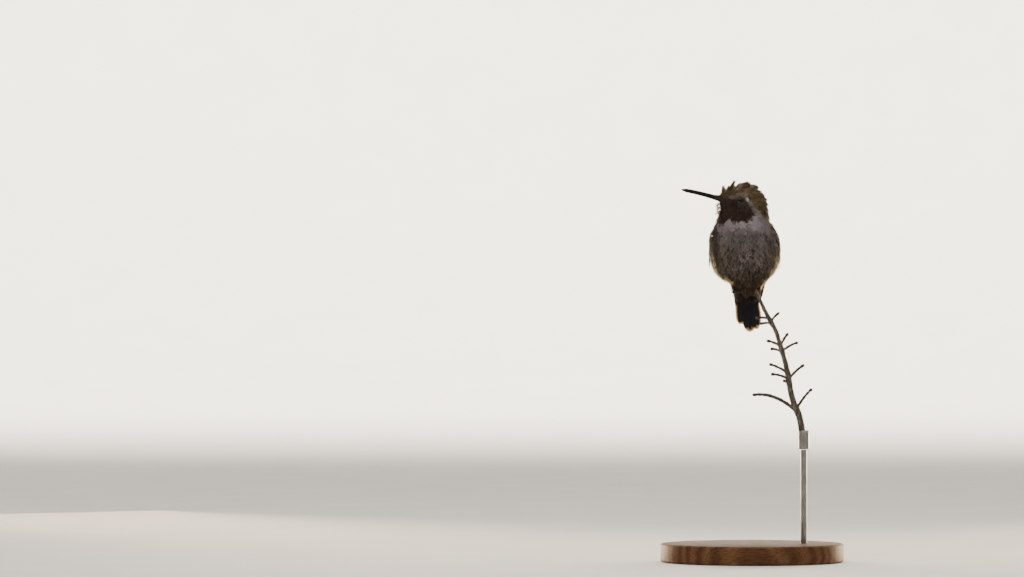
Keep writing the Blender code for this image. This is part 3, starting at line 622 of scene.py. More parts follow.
def grow(kinds, roots, directions, normals, length, wide, lift, curl, cup=0.25):
    """Feathers of the given kinds, one at each root: their points (feather, point, 3), and which kind
    each one is."""
    directions = unit(flat_to(normals, directions))
    across = np.cross(directions, normals)
    pick = RNG.integers(0, len(kinds), len(roots))
    shape = np.array([kind[0] for kind in kinds])[pick]
    x = shape[..., 0] * (length * wide)[:, None]
    y = shape[..., 1] * length[:, None]
    sink = cup * np.abs(x) ** 1.5 / np.maximum(length[:, None] ** 0.5, 0.3)
    z = y * np.sin(lift)[:, None] - curl[:, None] * y * y / 2 - sink + shape[..., 2] * length[:, None]
    flat = y * np.cos(lift)[:, None]
    return (roots[:, None] + directions[:, None] * flat[..., None] + across[:, None] * x[..., None]
            + normals[:, None] * z[..., None]), pick


PATCH = 0.003  # how much of the unwrap one feather takes


def set_tint(mesh, colours):
    """Stores a colour for each point as "Tint", which the finishes read."""
    rows = np.ones((len(colours), 4))
    rows[:, :3] = np.clip(colours, 0, 1)
    mesh.color_attributes.new("Tint", "FLOAT_COLOR", "POINT").data.foreach_set("color", rows.ravel())


def set_unwrap(mesh, places):
    """Stores the OFBake unwrap: a place for each corner of each face."""
    mesh.uv_layers.new(name="OFBake").data.foreach_set("uv", places.ravel())


def add_object(name, data):
    made = bpy.data.objects.new(name, data)
    bpy.context.scene.collection.objects.link(made)
    return made


def coat_mesh(name, kinds, placed, pick, centre, edge, places, rim=0.5, dark_root=0.6):
    """One mesh of many feathers, with their colours and the OFBake unwrap."""
    count, size = placed.shape[:2]
    shape, margin, along = [np.array([kind[part] for kind in kinds])[pick] for part in (0, 2, 3)]
    tint = blend(centre[:, None], edge[:, None], edge_share(margin, along, rim))
    tint = tint * (1 - dark_root * step(0.45, 0.05, along))[..., None]
    tint = tint * RNG.normal(1.0, 0.08, (count, 1, 1)).clip(0.7, 1.35)
    faces = kinds[0][1]
    corners = np.concatenate([np.array(face) for face in faces])
    loops = (corners[None] + np.arange(count)[:, None] * size).ravel()
    totals = np.tile([len(face) for face in faces], count)
    mesh = bpy.data.meshes.new(name)
    mesh.vertices.add(count * size)
    mesh.vertices.foreach_set("co", (placed.reshape(-1, 3) * MM).ravel())
    mesh.loops.add(len(loops))
    mesh.loops.foreach_set("vertex_index", loops)
    mesh.polygons.add(len(totals))
    mesh.polygons.foreach_set("loop_start", np.concatenate(((0,), np.cumsum(totals)[:-1])))
    mesh.polygons.foreach_set("loop_total", totals)
    mesh.update(calc_edges=True)
    set_tint(mesh, tint.reshape(-1, 3))
    spread = np.abs(shape[..., 0]).max()
    local = np.stack((shape[..., 0] / (2 * spread), shape[..., 1] - 0.5), -1)
    set_unwrap(mesh, (places[:, None] + PATCH * local).reshape(-1, 2)[loops])
    mesh.shade_smooth()
    return add_object(name, mesh)


def clumped(roots, ways, normals, sizes, rise, pitch, pull, lift, stretch):
    """Draws feathers together into clumps about pitch apart, each raised by up to lift degrees and
    lengthened by up to stretch. Returns their ways, sizes and rise."""
    count = len(roots)
    seeds = np.nonzero(RNG.random(count) < count_share(roots, pitch))[0]
    tree = KDTree(len(seeds))
    for place, seed in enumerate(seeds):
        tree.insert(Vector(roots[seed]), place)
    tree.balance()
    nearest = seeds[[tree.find(Vector(root))[1] for root in roots]]
    turned = rise + np.radians(RNG.uniform(0, 1, count)[nearest] * lift)
    longer = sizes * (1 + stretch * RNG.uniform(0, 1, count)[nearest])
    tangent = unit(flat_to(normals, ways))
    reach = (tangent * np.cos(turned)[:, None] + normals * np.sin(turned)[:, None]) * longer[:, None]
    tips = roots + reach
    tips = tips + (tips[nearest] - tips) * np.reshape(pull, (-1, 1))
    reach = tips - roots
    longer = np.linalg.norm(reach, axis=1)
    rise = np.sum(reach * normals, 1) / longer
    return flat_to(normals, reach), longer, np.arcsin(np.clip(rise, -0.9, 0.9))


def count_share(roots, pitch):
    """The share of the roots that leaves about one in each patch pitch across."""
    cells = len(np.unique(np.floor(roots / pitch).astype(int), axis=0))
    return 0.7 * cells / len(roots)


PERCH = tree_of("perch_stem", "foot_left", "foot_right")
PERCH_REACH = 14.0  # how far from the grip feathers are tested
PERCH_CLEAR = 0.15


def off_perch(placed):
    """Which feathers keep clear of the stem and the toes."""
    near = np.linalg.norm(placed - GRIP, axis=2).min(1) < PERCH_REACH
    good = np.ones(len(placed), bool)
    for i in np.nonzero(near)[0]:
        for point in placed[i][::3]:
            spot, normal, _, distance = PERCH.find_nearest(Vector(point), 1.0)
            if spot is not None and (distance < PERCH_CLEAR or (Vector(point) - spot).dot(normal) < 0):
                good[i] = False
                break
    return good


def plant(name, kinds, roots, ways, normals, sizes, wide, rise, curl, centre, edge, places, rim=0.5,
          dark_root=0.6, cup=0.25):
    """One piece of the coat: a feather at each root that keeps clear of the perch."""
    placed, pick = grow(kinds, roots, ways, normals, sizes, wide, rise, np.full(len(roots), curl), cup)
    good = off_perch(placed)
    return coat_mesh(name, kinds, placed[good], pick[good], centre[good], edge[good], places[good],
                     rim, dark_root)


ROOT_TRIES = 9000  # at a spacing of 1 mm


def scatter(wanted, pitch):
    """Roots spread evenly over the part of the skin where wanted says 1, about pitch apart. Returns
    what on_skin does."""
    tries = int(ROOT_TRIES / pitch)
    areas = np.linalg.norm(np.cross(np.roll(SKIN, -1, 1)[:-1] - SKIN[:-1], SKIN[1:] - SKIN[:-1]), axis=2)
    chance = (areas * wanted[:-1]).ravel()
    cells = RNG.choice(chance.size, tries, p=chance / chance.sum())
    row = cells // SKIN_SIDES + RNG.random(tries)
    side = cells % SKIN_SIDES + RNG.random(tries)
    spots = on_skin(row, side)[0]
    keys = np.floor(spots / pitch).astype(int)
    taken, kept = {}, []

    def is_clear(number):
        """Whether no kept root lies within pitch."""
        a, b, c = keys[number]
        for key in ((a + i, b + j, c + k) for i in (-1, 0, 1) for j in (-1, 0, 1) for k in (-1, 0, 1)):
            for other in taken.get(key, ()):
                x, y, z = spots[other] - spots[number]
                if x * x + y * y + z * z < pitch * pitch:
                    return False
        return True

    for number in range(tries):
        if is_clear(number):
            taken.setdefault(tuple(keys[number]), []).append(number)
            kept.append(number)
    return on_skin(row[kept], side[kept])


def lie(points, normals, t):
    """Which way the coat lies: back from the bill on the head, down the body, in to the tail."""
    f, left, u = to_head(points).T
    droop = 0.25 + 1.3 * step(3.0, -5.0, u) + 1.2 * step(-2.0, -10.0, f)
    back = np.stack((-np.ones(len(f)), 0.12 * left / 8, -droop), 1) @ HEAD_AXES
    x, y, z = to_body(points)
    outward = 0.25 * x / 12 * step(6.0, 20.0, z) - 0.3 * x / 10 * step(10, 2, z)
    rearward = 0.30 * step(20.0, 4.0, z) + 0.15 * step(0, 8, y)
    down = np.stack((outward, rearward, -np.ones(len(x))), 1)
    head = step(9.4, 11.6, t)
    return unit(flat_to(normals, blend(unit(down), unit(back), head)))


EYE_SPOTS = [from_head((EYE_PLACE[0], sign * EYE_PLACE[1], EYE_PLACE[2])) for sign in (1, -1)]


BILL_FRONT = 11.6  # forward of this, roots that lie against the bill are dropped
WING_COVER = 4.0  # a root with a wing this near above it is hidden


def clear_roots(found):
    """Drops roots that lie on an eye, on the bill's root, or hidden under a wing."""
    points, normals = found[0], found[1]
    good = np.ones(len(points), bool)
    for spot in EYE_SPOTS:
        good &= np.linalg.norm(points - spot, axis=1) > EYE_RADIUS + 0.02
    f, left, u = to_head(points).T
    from_bill = np.hypot(left / BILL_HALF_WIDTH, (u - BILL_ROOT[2]) / BILL_HALF_DEPTH)
    good &= ~((f > BILL_FRONT) & (from_bill < 1.1))
    for i in np.nonzero(good)[0]:
        point, normal = Vector(points[i]), Vector(normals[i])
        good[i] = WINGS.ray_cast(point + normal * 0.1, normal, WING_COVER)[0] is None
    return tuple(part[good] for part in found)


# ---------------------------------------------------------------- materials

def tree_for(name):
    made = bpy.data.materials.new(name)
    made.use_nodes = True
    return made, made.node_tree, made.node_tree.nodes["Principled BSDF"]


def add_node(nt, kind, **inputs):
    """A shader node with some of its sockets set, each to a value or from another socket."""
    made = nt.nodes.new("ShaderNode" + kind)
    for name, value in inputs.items():
        set_socket(nt, made.inputs[name.replace("_", " ")], value)
    return made


def set_socket(nt, socket, value):
    if isinstance(value, bpy.types.NodeSocket):
        nt.links.new(value, socket)
    else:
        socket.default_value = value


def noise(nt, size, detail=3.0, stretch=(1, 1, 1)):
    """A noise in the object's own space, whose blobs are about size millimetres across."""
    coords = add_node(nt, "TexCoord")
    scaled = add_node(nt, "Mapping", Scale=stretch, Vector=coords.outputs["Object"])
    made = add_node(nt, "TexNoise", Scale=1 / (size * MM), Detail=detail, Vector=scaled.outputs["Vector"])
    return made.outputs["Fac"]


def ranged(nt, value, low, high, start=0.3, end=0.7):
    """A value that runs from low to high while another runs from start to end."""
    return add_node(nt, "MapRange", From_Min=start, From_Max=end, To_Min=low, To_Max=high,
                    Value=value).outputs["Result"]


def mixed(nt, kind, share, a, b):
    """A colour mix. share, a and b are sockets, or a number and two colours."""
    made = nt.nodes.new("ShaderNodeMix")
    made.data_type = "RGBA"
    made.blend_type = kind
    for socket, value in ((made.inputs[0], share), (made.inputs[6], a), (made.inputs[7], b)):
        set_socket(nt, socket, (*value, 1.0) if isinstance(value, tuple) else value)
    return made.outputs[2]


def bumped(nt, shader, heights, strength, distance):
    bump = add_node(nt, "Bump", Strength=strength, Distance=distance * MM, Height=heights)
    nt.links.new(bump.outputs["Normal"], shader.inputs["Normal"])


def tinted(name, roughness, metallic=0.0, glow=0.0, grain=0.5, bump=0.25, shine=0.5):
    """A finish whose colour is the mesh's "Tint", broken up by fine noise. glow lets light through."""
    made, nt, shader = tree_for(name)
    tint = nt.nodes.new("ShaderNodeAttribute")
    tint.attribute_name = "Tint"
    fine = noise(nt, grain)
    level = ranged(nt, fine, 0.72, 1.28)
    light = add_node(nt, "CombineColor", Red=level, Green=level, Blue=level)
    colour = mixed(nt, "MULTIPLY", 1.0, tint.outputs["Color"], light.outputs["Color"])
    nt.links.new(colour, shader.inputs["Base Color"])
    rough = ranged(nt, noise(nt, grain * 4), roughness - 0.08, roughness + 0.08)
    nt.links.new(rough, shader.inputs["Roughness"])
    shader.inputs["Metallic"].default_value = metallic
    shader.inputs["Specular IOR Level"].default_value = shine
    bumped(nt, shader, fine, bump, grain * 0.3)
    if glow:
        through = add_node(nt, "BsdfTranslucent", Color=colour)
        both = nt.nodes.new("ShaderNodeMixShader")
        both.inputs[0].default_value = glow
        nt.links.new(shader.outputs[0], both.inputs[1])
        nt.links.new(through.outputs[0], both.inputs[2])
        nt.links.new(both.outputs[0], nt.nodes["Material Output"].inputs["Surface"])
    return made


def finish_piece(piece, material, slot, *nodes):
    """Gives a piece its finish and its body, and hides the nodes it stands for. slot is not used."""
    piece.data.materials.clear()
    piece.data.materials.append(material)
    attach(piece, "root")
    if nodes:
        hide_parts(*nodes)
    return piece


def mesh_piece(name, points, faces, colours=None):
    mesh = bpy.data.meshes.new(name)
    mesh.from_pydata([tuple(p) for p in np.asarray(points) * MM], [], faces)
    mesh.update()
    if colours is not None:
        set_tint(mesh, colours)
    mesh.shade_smooth()
    return add_object(name, mesh)


def ring_faces(rows, sides, caps=True):
    """Faces over rings of points laid one after another."""
    faces = []
    for i in range(rows - 1):
        for j in range(sides):
            a, b = i * sides + j, i * sides + (j + 1) % sides
            faces.append((a, b, b + sides, a + sides))
    if caps:
        faces.append(tuple(reversed(range(sides))))
        faces.append(tuple((rows - 1) * sides + j for j in range(sides)))
    return faces


def tube(route, radii, sides=12):
    """Points and faces of a tapering tube along a route."""
    route = np.asarray(route, float)
    ways = unit(np.gradient(route, axis=0))
    rings = []
    aside = unit(np.cross(ways[0], (0.31, 0.87, 0.38)))
    for spot, way, radius in zip(route, ways, radii):
        aside = unit(aside - way * (aside @ way))
        other = np.cross(way, aside)
        angle = np.arange(sides)[:, None] * math.tau / sides
        rings.append(spot + radius * (np.cos(angle) * aside + np.sin(angle) * other))
    return np.concatenate(rings), ring_faces(len(route), sides)


def joined(parts):
    """Points and faces of several meshes as one."""
    points, faces, start = [], [], 0
    for more_points, more_faces in parts:
        points.append(more_points)
        faces += [tuple(start + i for i in face) for face in more_faces]
        start += len(more_points)
    return np.concatenate(points), faces


# ---------------------------------------------------------------- skin

SOCKET_ROOM = 1.15  # how far the skin is drawn in behind an eye


def make_skin():
    """One skin under the whole coat, with the coat's markings, drawn in behind the eyes."""
    points = SKIN.reshape(-1, 3).copy()
    t = np.repeat(SKIN_T, SKIN_SIDES)
    centre, edge = marks(points, SKIN_NORMALS.reshape(-1, 3), t)
    for sign, spot in zip((1, -1), EYE_SPOTS):
        away = np.linalg.norm(points - spot, axis=1)
        sink = SOCKET_ROOM * step(EYE_RADIUS + 0.5, EYE_RADIUS - 0.6, away)
        points -= sign * sink[:, None] * LEFT
    colours = blend(centre, edge, np.full(len(t), 0.25)) * 0.55
    skin = mesh_piece("skin", points, ring_faces(SKIN_ROWS, SKIN_SIDES), colours)
    uv = np.zeros((len(skin.data.loops), 2))
    indices = np.array([loop.vertex_index for loop in skin.data.loops])
    for face in skin.data.polygons:
        sides = indices[face.loop_indices] % SKIN_SIDES
        at_seam = len(sides) == 4 and sides.max() == SKIN_SIDES - 1
        for loop, side in zip(face.loop_indices, sides):
            share = 1.0 if at_seam and side == 0 else side / SKIN_SIDES
            uv[loop] = inset(np.array((share, SKIN_V[indices[loop] // SKIN_SIDES])))
    set_unwrap(skin.data, uv)
    return finish_piece(skin, tinted("skin_under_feathers", 0.75, grain=0.8), "body_feathers",
                        "head", "neck", "trunk", "vent")


# ---------------------------------------------------------------- coat

# Each region of the coat: slot, spacing, length, half width as a share of that, lift in degrees
# beyond what the depth asks for, curl per millimetre, barbs a side, reach of a barb, raggedness, and
# where the edge's colour begins
REGIONS = {
    "face": ("crown_feathers", 0.44, 1.15, 0.28, 2, 0.06, 7, 0.42, 0.10, 0.6),
    "crown": ("crown_feathers", 0.60, 2.20, 0.26, 3, 0.07, 9, 0.40, 0.12, 0.5),
    "gorget": ("gorget_feathers", 0.58, 1.80, 0.38, 1, 0.07, 10, 0.36, 0.05, 0.6),
    "collar": ("body_feathers", 0.66, 2.80, 0.26, 2, 0.06, 12, 0.46, 0.14, 0.4),
    "nape": ("crown_feathers", 0.74, 2.50, 0.34, 1, 0.08, 12, 0.34, 0.08, 0.5),
    "breast": ("body_feathers", 1.22, 4.30, 0.34, 1, 0.06, 18, 0.62, 0.16, 0.6),
    "belly": ("body_feathers", 1.50, 5.30, 0.34, 1, 0.055, 20, 0.66, 0.18, 0.6),
    "flank": ("body_feathers", 1.28, 5.20, 0.30, 2, 0.05, 18, 0.66, 0.20, 0.5),
    "back": ("body_feathers", 1.00, 3.70, 0.42, 0, 0.06, 18, 0.32, 0.04, 0.6),
    "vent": ("body_feathers", 1.00, 4.20, 0.28, 0, 0.05, 16, 0.66, 0.20, 0.5),
}
SOFT = ("breast", "belly", "flank", "vent")  # regions with loose barbs
GLOSSY = ("crown", "gorget", "nape", "back")
# Regions with single feathers of another colour: the colour, their share, and how far out they begin
FLECKS = {
    "crown": ((GREEN_FLECK, 0.16, 0.0), (RED_FLECK, 0.10, 0.0)),
    "gorget": ((GORGET_FLECK, 0.07, 0.0),),
    "breast": ((BACK, 0.10, 9.0),),
    "flank": ((BACK, 0.10, 9.0),),
}
# Regions whose feathers draw together: spacing of the clumps, pull, further lift and further length
CLUMPS = {
    "crown": (1.7, 0.60, 20, 0.35),
    "nape": (2.0, 0.50, 9, 0.25),
    "collar": (2.2, 0.30, 5, 0.10),
    "breast": (3.0, 0.30, 4, 0.05),
    "belly": (3.2, 0.30, 4, 0.05),
    "flank": (3.0, 0.35, 8, 0.15),
    "vent": (2.6, 0.30, 4, 0.10),
}


def region_at(points, normals, t):
    """The region of each point of the skin, as its place in REGIONS. Later lines overrule earlier."""
    f, left, u = to_head(points).T
    x, _, z = to_body(points)
    names = list(REGIONS)
    at = np.full(len(t), names.index("belly"))
    at[z > 17.5] = names.index("breast")
    at[(z < 5.0)] = names.index("vent")
    at[(np.abs(x) > 10.0) & (z > 4.0) & (z < 22.0)] = names.index("flank")
    at[(normals[:, 1] > 0.30) & (z > 4.0)] = names.index("back")
    at[(normals[:, 1] > 0.30) & (z <= 4.0)] = names.index("vent")
    at[(z > 27.0) & (normals[:, 1] < 0.30)] = names.index("collar")
    head = t > 10.3
    at[head] = names.index("collar")
    throat = gorget_share(f, left, u, np.zeros(len(f))) > 0.5
    at[head & throat] = names.index("gorget")
    above = u > trail_height(f) + 0.8
    at[head & (((f < 2.0) & above) | (u > 2.4))] = names.index("crown")
    at[head & (normals @ FORWARD < -0.45) & (u < 3.0)] = names.index("nape")
    near_eye = np.hypot(f - EYE_PLACE[0], u - EYE_PLACE[2]) < 3.6
    at[head & (((f > 7.6) & (u > -4.5) & (u < 4.6)) | near_eye)] = names.index("face")
    return at


def region_roots(name, at, pitch):
    """Roots spread over a region, as on_skin gives them."""
    wanted = (at == list(REGIONS).index(name)).astype(float).reshape(SKIN_ROWS, SKIN_SIDES)
    return clear_roots(scatter(wanted, pitch))


def make_region(name, at):
    """One region's feathers, which rise from the skin to the coat's outside."""
    slot, pitch, length, wide, lift, curl, barbs, reach, ragged, rim = REGIONS[name]
    roots, normals, depth, t, angle, places = region_roots(name, at, pitch)
    count = len(roots)
    kinds = vanes(6, 0, barbs, wide, reach, ragged=ragged, loose=0.5 if name in SOFT else 0.15)
    centre, edge = marks(coat_points(t, angle), normals, t)
    sizes = length * RNG.normal(1.0, 0.10, count).clip(0.75, 1.3)
    rise = np.arcsin(np.clip(depth / sizes, 0, 0.75)) + np.radians(lift + RNG.normal(0, 3.0, count))
    ways = lie(roots, normals, t) + RNG.normal(0, 0.13, (count, 3))
    loft = np.ones(count)
    if name == "crown":
        crest, parting = crown_relief(roots)
        rise += np.radians(14) * crest * RNG.random(count) - np.radians(18) * parting
        sizes *= 1 + 0.20 * crest - 0.45 * parting
        loft = 1 - parting
    for colour, share, out in FLECKS.get(name, ()):
        flecks(centre, edge, colour, share * (np.abs(to_body(roots)[0]) >= out))
    if name in CLUMPS:
        pitch, pull, lift, stretch = CLUMPS[name]
        ways, sizes, rise = clumped(roots, ways, normals, sizes, rise, pitch, pull, lift * loft,
                                    stretch * loft)
    made = plant("coat_" + name, kinds, roots, ways, normals, sizes,
                 RNG.normal(1.0, 0.1, count).clip(0.75, 1.25), rise, curl, centre, edge, places, rim)
    if name in GLOSSY:
        finish = tinted("feathers_" + name, 0.55, metallic=0.15, shine=0.15)
    else:
        finish = tinted("feathers_" + name, 0.7, glow=0.15, shine=0.15)
    return finish_piece(made, finish, slot)


def crown_relief(roots):
    """How far each root of the crown belongs to its raised crest, and to the parting ahead of it."""
    f, _, u = to_head(roots).T
    crest = step(5.5, 2.5, f) * step(2.0, 4.5, u) * step(-7.5, -3.5, f)
    return crest, np.exp(-((f - 6.2) / 1.7) ** 2) * step(2.0, 4.0, u)


def flecks(centre, edge, colour, share):
    """Turns a share of the feathers, at random, towards another colour."""
    chosen = RNG.random(len(centre)) < share
    strength = RNG.uniform(0.3, 0.9, (len(centre), 1)) * chosen[:, None]
    centre[:] = centre * (1 - strength) + np.array(colour) * strength
    edge[:] = edge * (1 - strength * 0.6) + np.array(colour) * strength * 0.6


def cluster(kinds, spots, directions, facing, lengths):
    """Free-standing feathers, each along its own direction."""
    facing = unit(facing - directions * np.sum(facing * directions, 1, keepdims=True))
    count = len(spots)
    return grow(kinds, spots, directions, facing, lengths, np.ones(count), np.zeros(count),
                RNG.normal(0.02, 0.03, count), cup=0.4)


def crown_spikes():
    """Feathers of the forehead and crown that draw together into raised spikes. Gives each one's
    root, direction, length and colour, in the head's own axes, as the next two functions do."""
    for forward, left, up, length, lean in TUFTS:
        for _ in range(SPIKES):
            spike = np.array((forward + RNG.normal(0, 0.2), left + RNG.uniform(-1.5, 1.5), up - 0.9))
            tilt = math.radians(lean + RNG.normal(0, 5)) - HEAD_RISE
            tip = spike + np.array((-math.sin(tilt), RNG.normal(0, 0.15), math.cos(tilt))) * (
                (length + 0.7) * RNG.uniform(0.7, 1.08))
            for _ in range(SPIKE_FEATHERS):
                root = spike + RNG.normal(0, 0.18, 3) * (1, 1, 0.3)
                reach = tip + RNG.normal(0, 0.08, 3) - root
                yield root, unit(reach), np.linalg.norm(reach) * RNG.uniform(0.72, 1.0), BRONZE


def chin_wisps():
    """Loose feathers that hang from the chin and throat."""
    for _ in range(CHIN_WISPS):
        low = RNG.uniform(2.2, 7.4)
        root = (12.0 - 0.30 * low + RNG.normal(0, 0.2), RNG.normal(0, 1.1), -low)
        way = (RNG.normal(0.55, 0.25), RNG.normal(0, 0.25), -1.0)
        yield root, way, RNG.uniform(1.8, 3.4), np.multiply(CHEEK, 0.55)


def bill_root_feathers():
    """Short feathers that lie back from the bill's root, over its top and sides."""
    for _ in range(BILL_ROOT_FEATHERS):
        turn, far = RNG.uniform(-1.9, 1.9), RNG.uniform(0, 1)
        out = np.array((0, math.sin(turn), math.cos(turn)))
        root = np.array(BILL_ROOT) + (0.1 + 2.8 * far, 0, 0) + out * (BILL_HALF_DEPTH - 0.25)
        way = np.array((-1.0, 0, 0)) + out * RNG.normal(0.72 - 0.2 * far, 0.08)
        colour = np.multiply(CHEEK, 0.7) if math.cos(turn) < 0.3 else np.multiply(BRONZE, 0.45)
        yield root, way, RNG.uniform(1.7, 2.6) - 0.5 * far, colour


def make_tufts():
    """The head's free-standing feathers, as one piece."""
    rows = zip(*crown_spikes(), *chin_wisps(), *bill_root_feathers())
    spots, ways, lengths, colours = [np.array(row) for row in rows]
    spots = from_head(spots)
    ways = unit(ways) @ HEAD_AXES
    kinds = vanes(5, 50, 7, 0.11, 0.42, ragged=0.2, loose=0.5)
    placed, pick = cluster(kinds, spots, ways, np.tile(FORWARD, (len(spots), 1)), lengths)
    centre = colours * 1.1
    angle = np.arctan2(*(spots - HEAD)[:, 1::-1].T) / math.tau % 1
    places = np.stack((inset(angle), 0.93 + RNG.uniform(-0.03, 0.03, len(spots))), 1)
    made = coat_mesh("coat_raised_tufts", kinds, placed, pick, centre, centre * 2.0, places, rim=0.3,
                     dark_root=0.3)
    return finish_piece(made, tinted("feathers_raised", 0.7, glow=0.12, shine=0.1), "crown_feathers")


def unwrap_at(angle, t):
    """Places in the OFBake unwrap for angles round the coat, at each t."""
    return inset(np.stack((angle / math.tau % 1, np.interp(t, SKIN_T, SKIN_V)), 1))


def flank_roots(side, heights, angle):
    """Places just inside the coat's outside, at heights above the grip and angles from the side to
    the rear. Returns roots, normals and unwrap places."""
    t = section_at(heights)
    angle = angle if side > 0 else math.pi - angle
    normals = coat_normals(t, angle)
    roots = coat_points(t, angle) - normals * RNG.uniform(0.7, 1.3, len(t))[:, None]
    return roots, normals, unwrap_at(angle, t)


OVERLAP_FEATHERS = 560
FRINGE_FEATHERS = 800
UNDERTAIL_FEATHERS = 520


def make_overlap(name, side):
    """The flank feathers that lap over a wing's front edge."""
    count = OVERLAP_FEATHERS
    heights = RNG.uniform(-1.0, 25.5, count)
    edge_rows = eased(WING_ROWS, np.linspace(0, len(WING_ROWS) - 1, 200))
    back = np.interp(-heights, -edge_rows[:, 0], edge_rows[:, 2]) + RNG.uniform(-3.0, 1.2, count)
    rows = eased(SECTIONS, section_at(heights))
    angle = np.arcsin(np.clip((back - rows[:, 2]) / rows[:, 4], -0.98, 0.92))
    roots, normals, places = flank_roots(side, heights, angle)
    low = step(15.0, 7.0, heights + RNG.normal(0, 1.5, count))
    ways = np.stack((np.zeros(count), 0.55 - 0.25 * low, -np.ones(count)), 1)
    ways = ways + RNG.normal(0, 0.16, (count, 3))
    # Low feathers turn towards the fringe colour: pale down with a painted warm glow of light from behind
    pale = (0.3 * low * RNG.uniform(0.2, 1.0, count)).clip(0, 1)
    centre = blend(FLANK, np.multiply(FRINGE_AND_BACK_GLOW, 0.5), 0.5 * pale)
    edge = blend(FLANK_EDGE, FRINGE_AND_BACK_GLOW, pale)
    made = plant("coat_flank_overlap_" + name, vanes(6, 70, 16, 0.26, 0.5, ragged=0.18, loose=0.4),
                 roots, ways, normals, RNG.uniform(3.6, 5.2, count), RNG.uniform(0.8, 1.2, count),
                 np.radians(12 + RNG.normal(0, 3, count)), 0.055, centre, edge, places, rim=0.4)
    finish_piece(made, DOWN_FINISH, "body_feathers")


def make_fringe(name, side):
    """Pale loose feathers that stand out at the side of the lower flank, coloured with a painted warm glow
    of light from behind.
    """
    count = FRINGE_FEATHERS
    heights = RNG.triangular(1.6, 7.0, 20.0, count)
    angle = np.radians(RNG.uniform(-4 - 10 * (side > 0), 40, count))
    roots, normals, places = flank_roots(side, heights, angle)
    ways = np.stack((np.full(count, -0.10 * side), RNG.normal(0.10, 0.15, count), -np.ones(count)), 1)
    ways += RNG.normal(0, 0.12, (count, 3))
    rise = np.radians(19 + 10 * step(16.0, 9.0, heights) + RNG.normal(0, 4, count))
    # How much of the painted back glow each feather takes, most low down
    pale = step(19.0, 12.0, heights + RNG.normal(0, 2.0, count))
    kinds = vanes(6, 80, 12, 0.16, 0.9, ragged=0.3, closed=0.5, loose=0.7)
    made = plant("coat_flank_fringe_" + name, kinds, roots, ways, normals,
                 RNG.uniform(3.2, 4.6, count), RNG.uniform(0.7, 1.3, count), rise, 0.06,
                 blend(FLANK_EDGE, FRINGE_AND_BACK_GLOW, 0.6 * pale), blend(FLANK_EDGE, FRINGE_AND_BACK_GLOW, pale), places,
                 rim=0.3, dark_root=0.3)
    finish_piece(made, DOWN_FINISH, "body_feathers")


def make_undertail():
    """Dark feathers that hang from the vent over the tail's base, and close in with the tail."""
    count = UNDERTAIL_FEATHERS
    heights = RNG.uniform(-0.9, 2.6, count)
    t = section_at(heights)
    angle = np.radians(RNG.uniform(168, 350, count))
    roots = coat_points(t, angle)
    outward = np.stack((np.cos(angle), np.sin(angle), np.zeros(count)), 1)
    roots -= outward * RNG.uniform(0.8, 1.5, count)[:, None]
    aim = np.array(TAIL_DIRECTION) - (0.26, 0, 0) * (roots - TAIL_ROOT)[:, :1] / 8
    aim = aim + RNG.normal(0, 0.06, (count, 3)) + (0, 0.12, 0)
    kinds = vanes(6, 60, 14, 0.24, 0.5, ragged=0.12, loose=0.3)
    placed, pick = cluster(kinds, roots, unit(aim), outward, RNG.uniform(5.0, 7.0, count))
    good = off_perch(placed)
    low = step(2.6, 0.0, heights)
    centre = blend(LOWER, np.multiply(TAIL, 1.5), low)
    edge = blend(LOWER_EDGE, np.multiply(LOWER, 1.2), low)
    made = coat_mesh("coat_undertail", kinds, placed[good], pick[good], centre[good], edge[good],
                     unwrap_at(angle, t)[good])
    finish_piece(made, tinted("feathers_undertail", 0.85, shine=0.03), "body_feathers")


DOWN_FINISH = tinted("feathers_down", 0.7, glow=0.50, shine=0.2)

# Loose barbs over the soft parts of the coat, which blur its edges: region, spacing and length
WISPS = (
    ("collar", 0.95, 2.6),
    ("breast", 1.10, 3.2),
    ("belly", 1.20, 3.6),
    ("flank", 1.10, 3.8),
    ("vent", 1.00, 3.4),
)


def make_wisps(at):
    kinds = vanes(8, 90, 3, 0.10, 1.3, ragged=0.3, closed=0.06, loose=0.7)
    for name, pitch, length in WISPS:
        roots, normals, depth, t, angle, places = region_roots(name, at, pitch)
        count = len(roots)
        centre, edge = marks(coat_points(t, angle), normals, t)
        roots = roots + normals * (depth * 0.35)[:, None]
        sizes = length * RNG.uniform(0.75, 1.15, count)
        rise = np.arcsin(np.clip(depth * 0.75 / sizes, 0, 0.7)) + np.radians(RNG.uniform(0, 6, count))
        ways = lie(roots, normals, t) + RNG.normal(0, 0.3, (count, 3))
        made = plant("coat_wisps_" + name, kinds, roots, ways, normals, sizes,
                     RNG.uniform(0.7, 1.3, count), rise, 0.055,
                     blend(centre, edge, np.full(count, 0.45)), edge, places, rim=0.3, dark_root=0.2)
        finish_piece(made, DOWN_FINISH, REGIONS[name][0])


def make_coat():
    at = region_at(SKIN.reshape(-1, 3), SKIN_NORMALS.reshape(-1, 3), np.repeat(SKIN_T, SKIN_SIDES))
    for name in REGIONS:
        make_region(name, at)
    make_tufts()
    make_undertail()
    for name, side in (("left", 1), ("right", -1)):
        make_overlap(name, side)
        make_fringe(name, side)
    make_wisps(at)


# ---------------------------------------------------------------- eyes

EYE_LOOK = unit(np.array((0.10, 1.0, 0.03)))  # forward, left and up
EYE_ROWS, EYE_SIDES = 40, 56
LID_SIDES = 40
OPENING = (1.55, 0.46, 0.80)  # half length, and how far above and below the middle
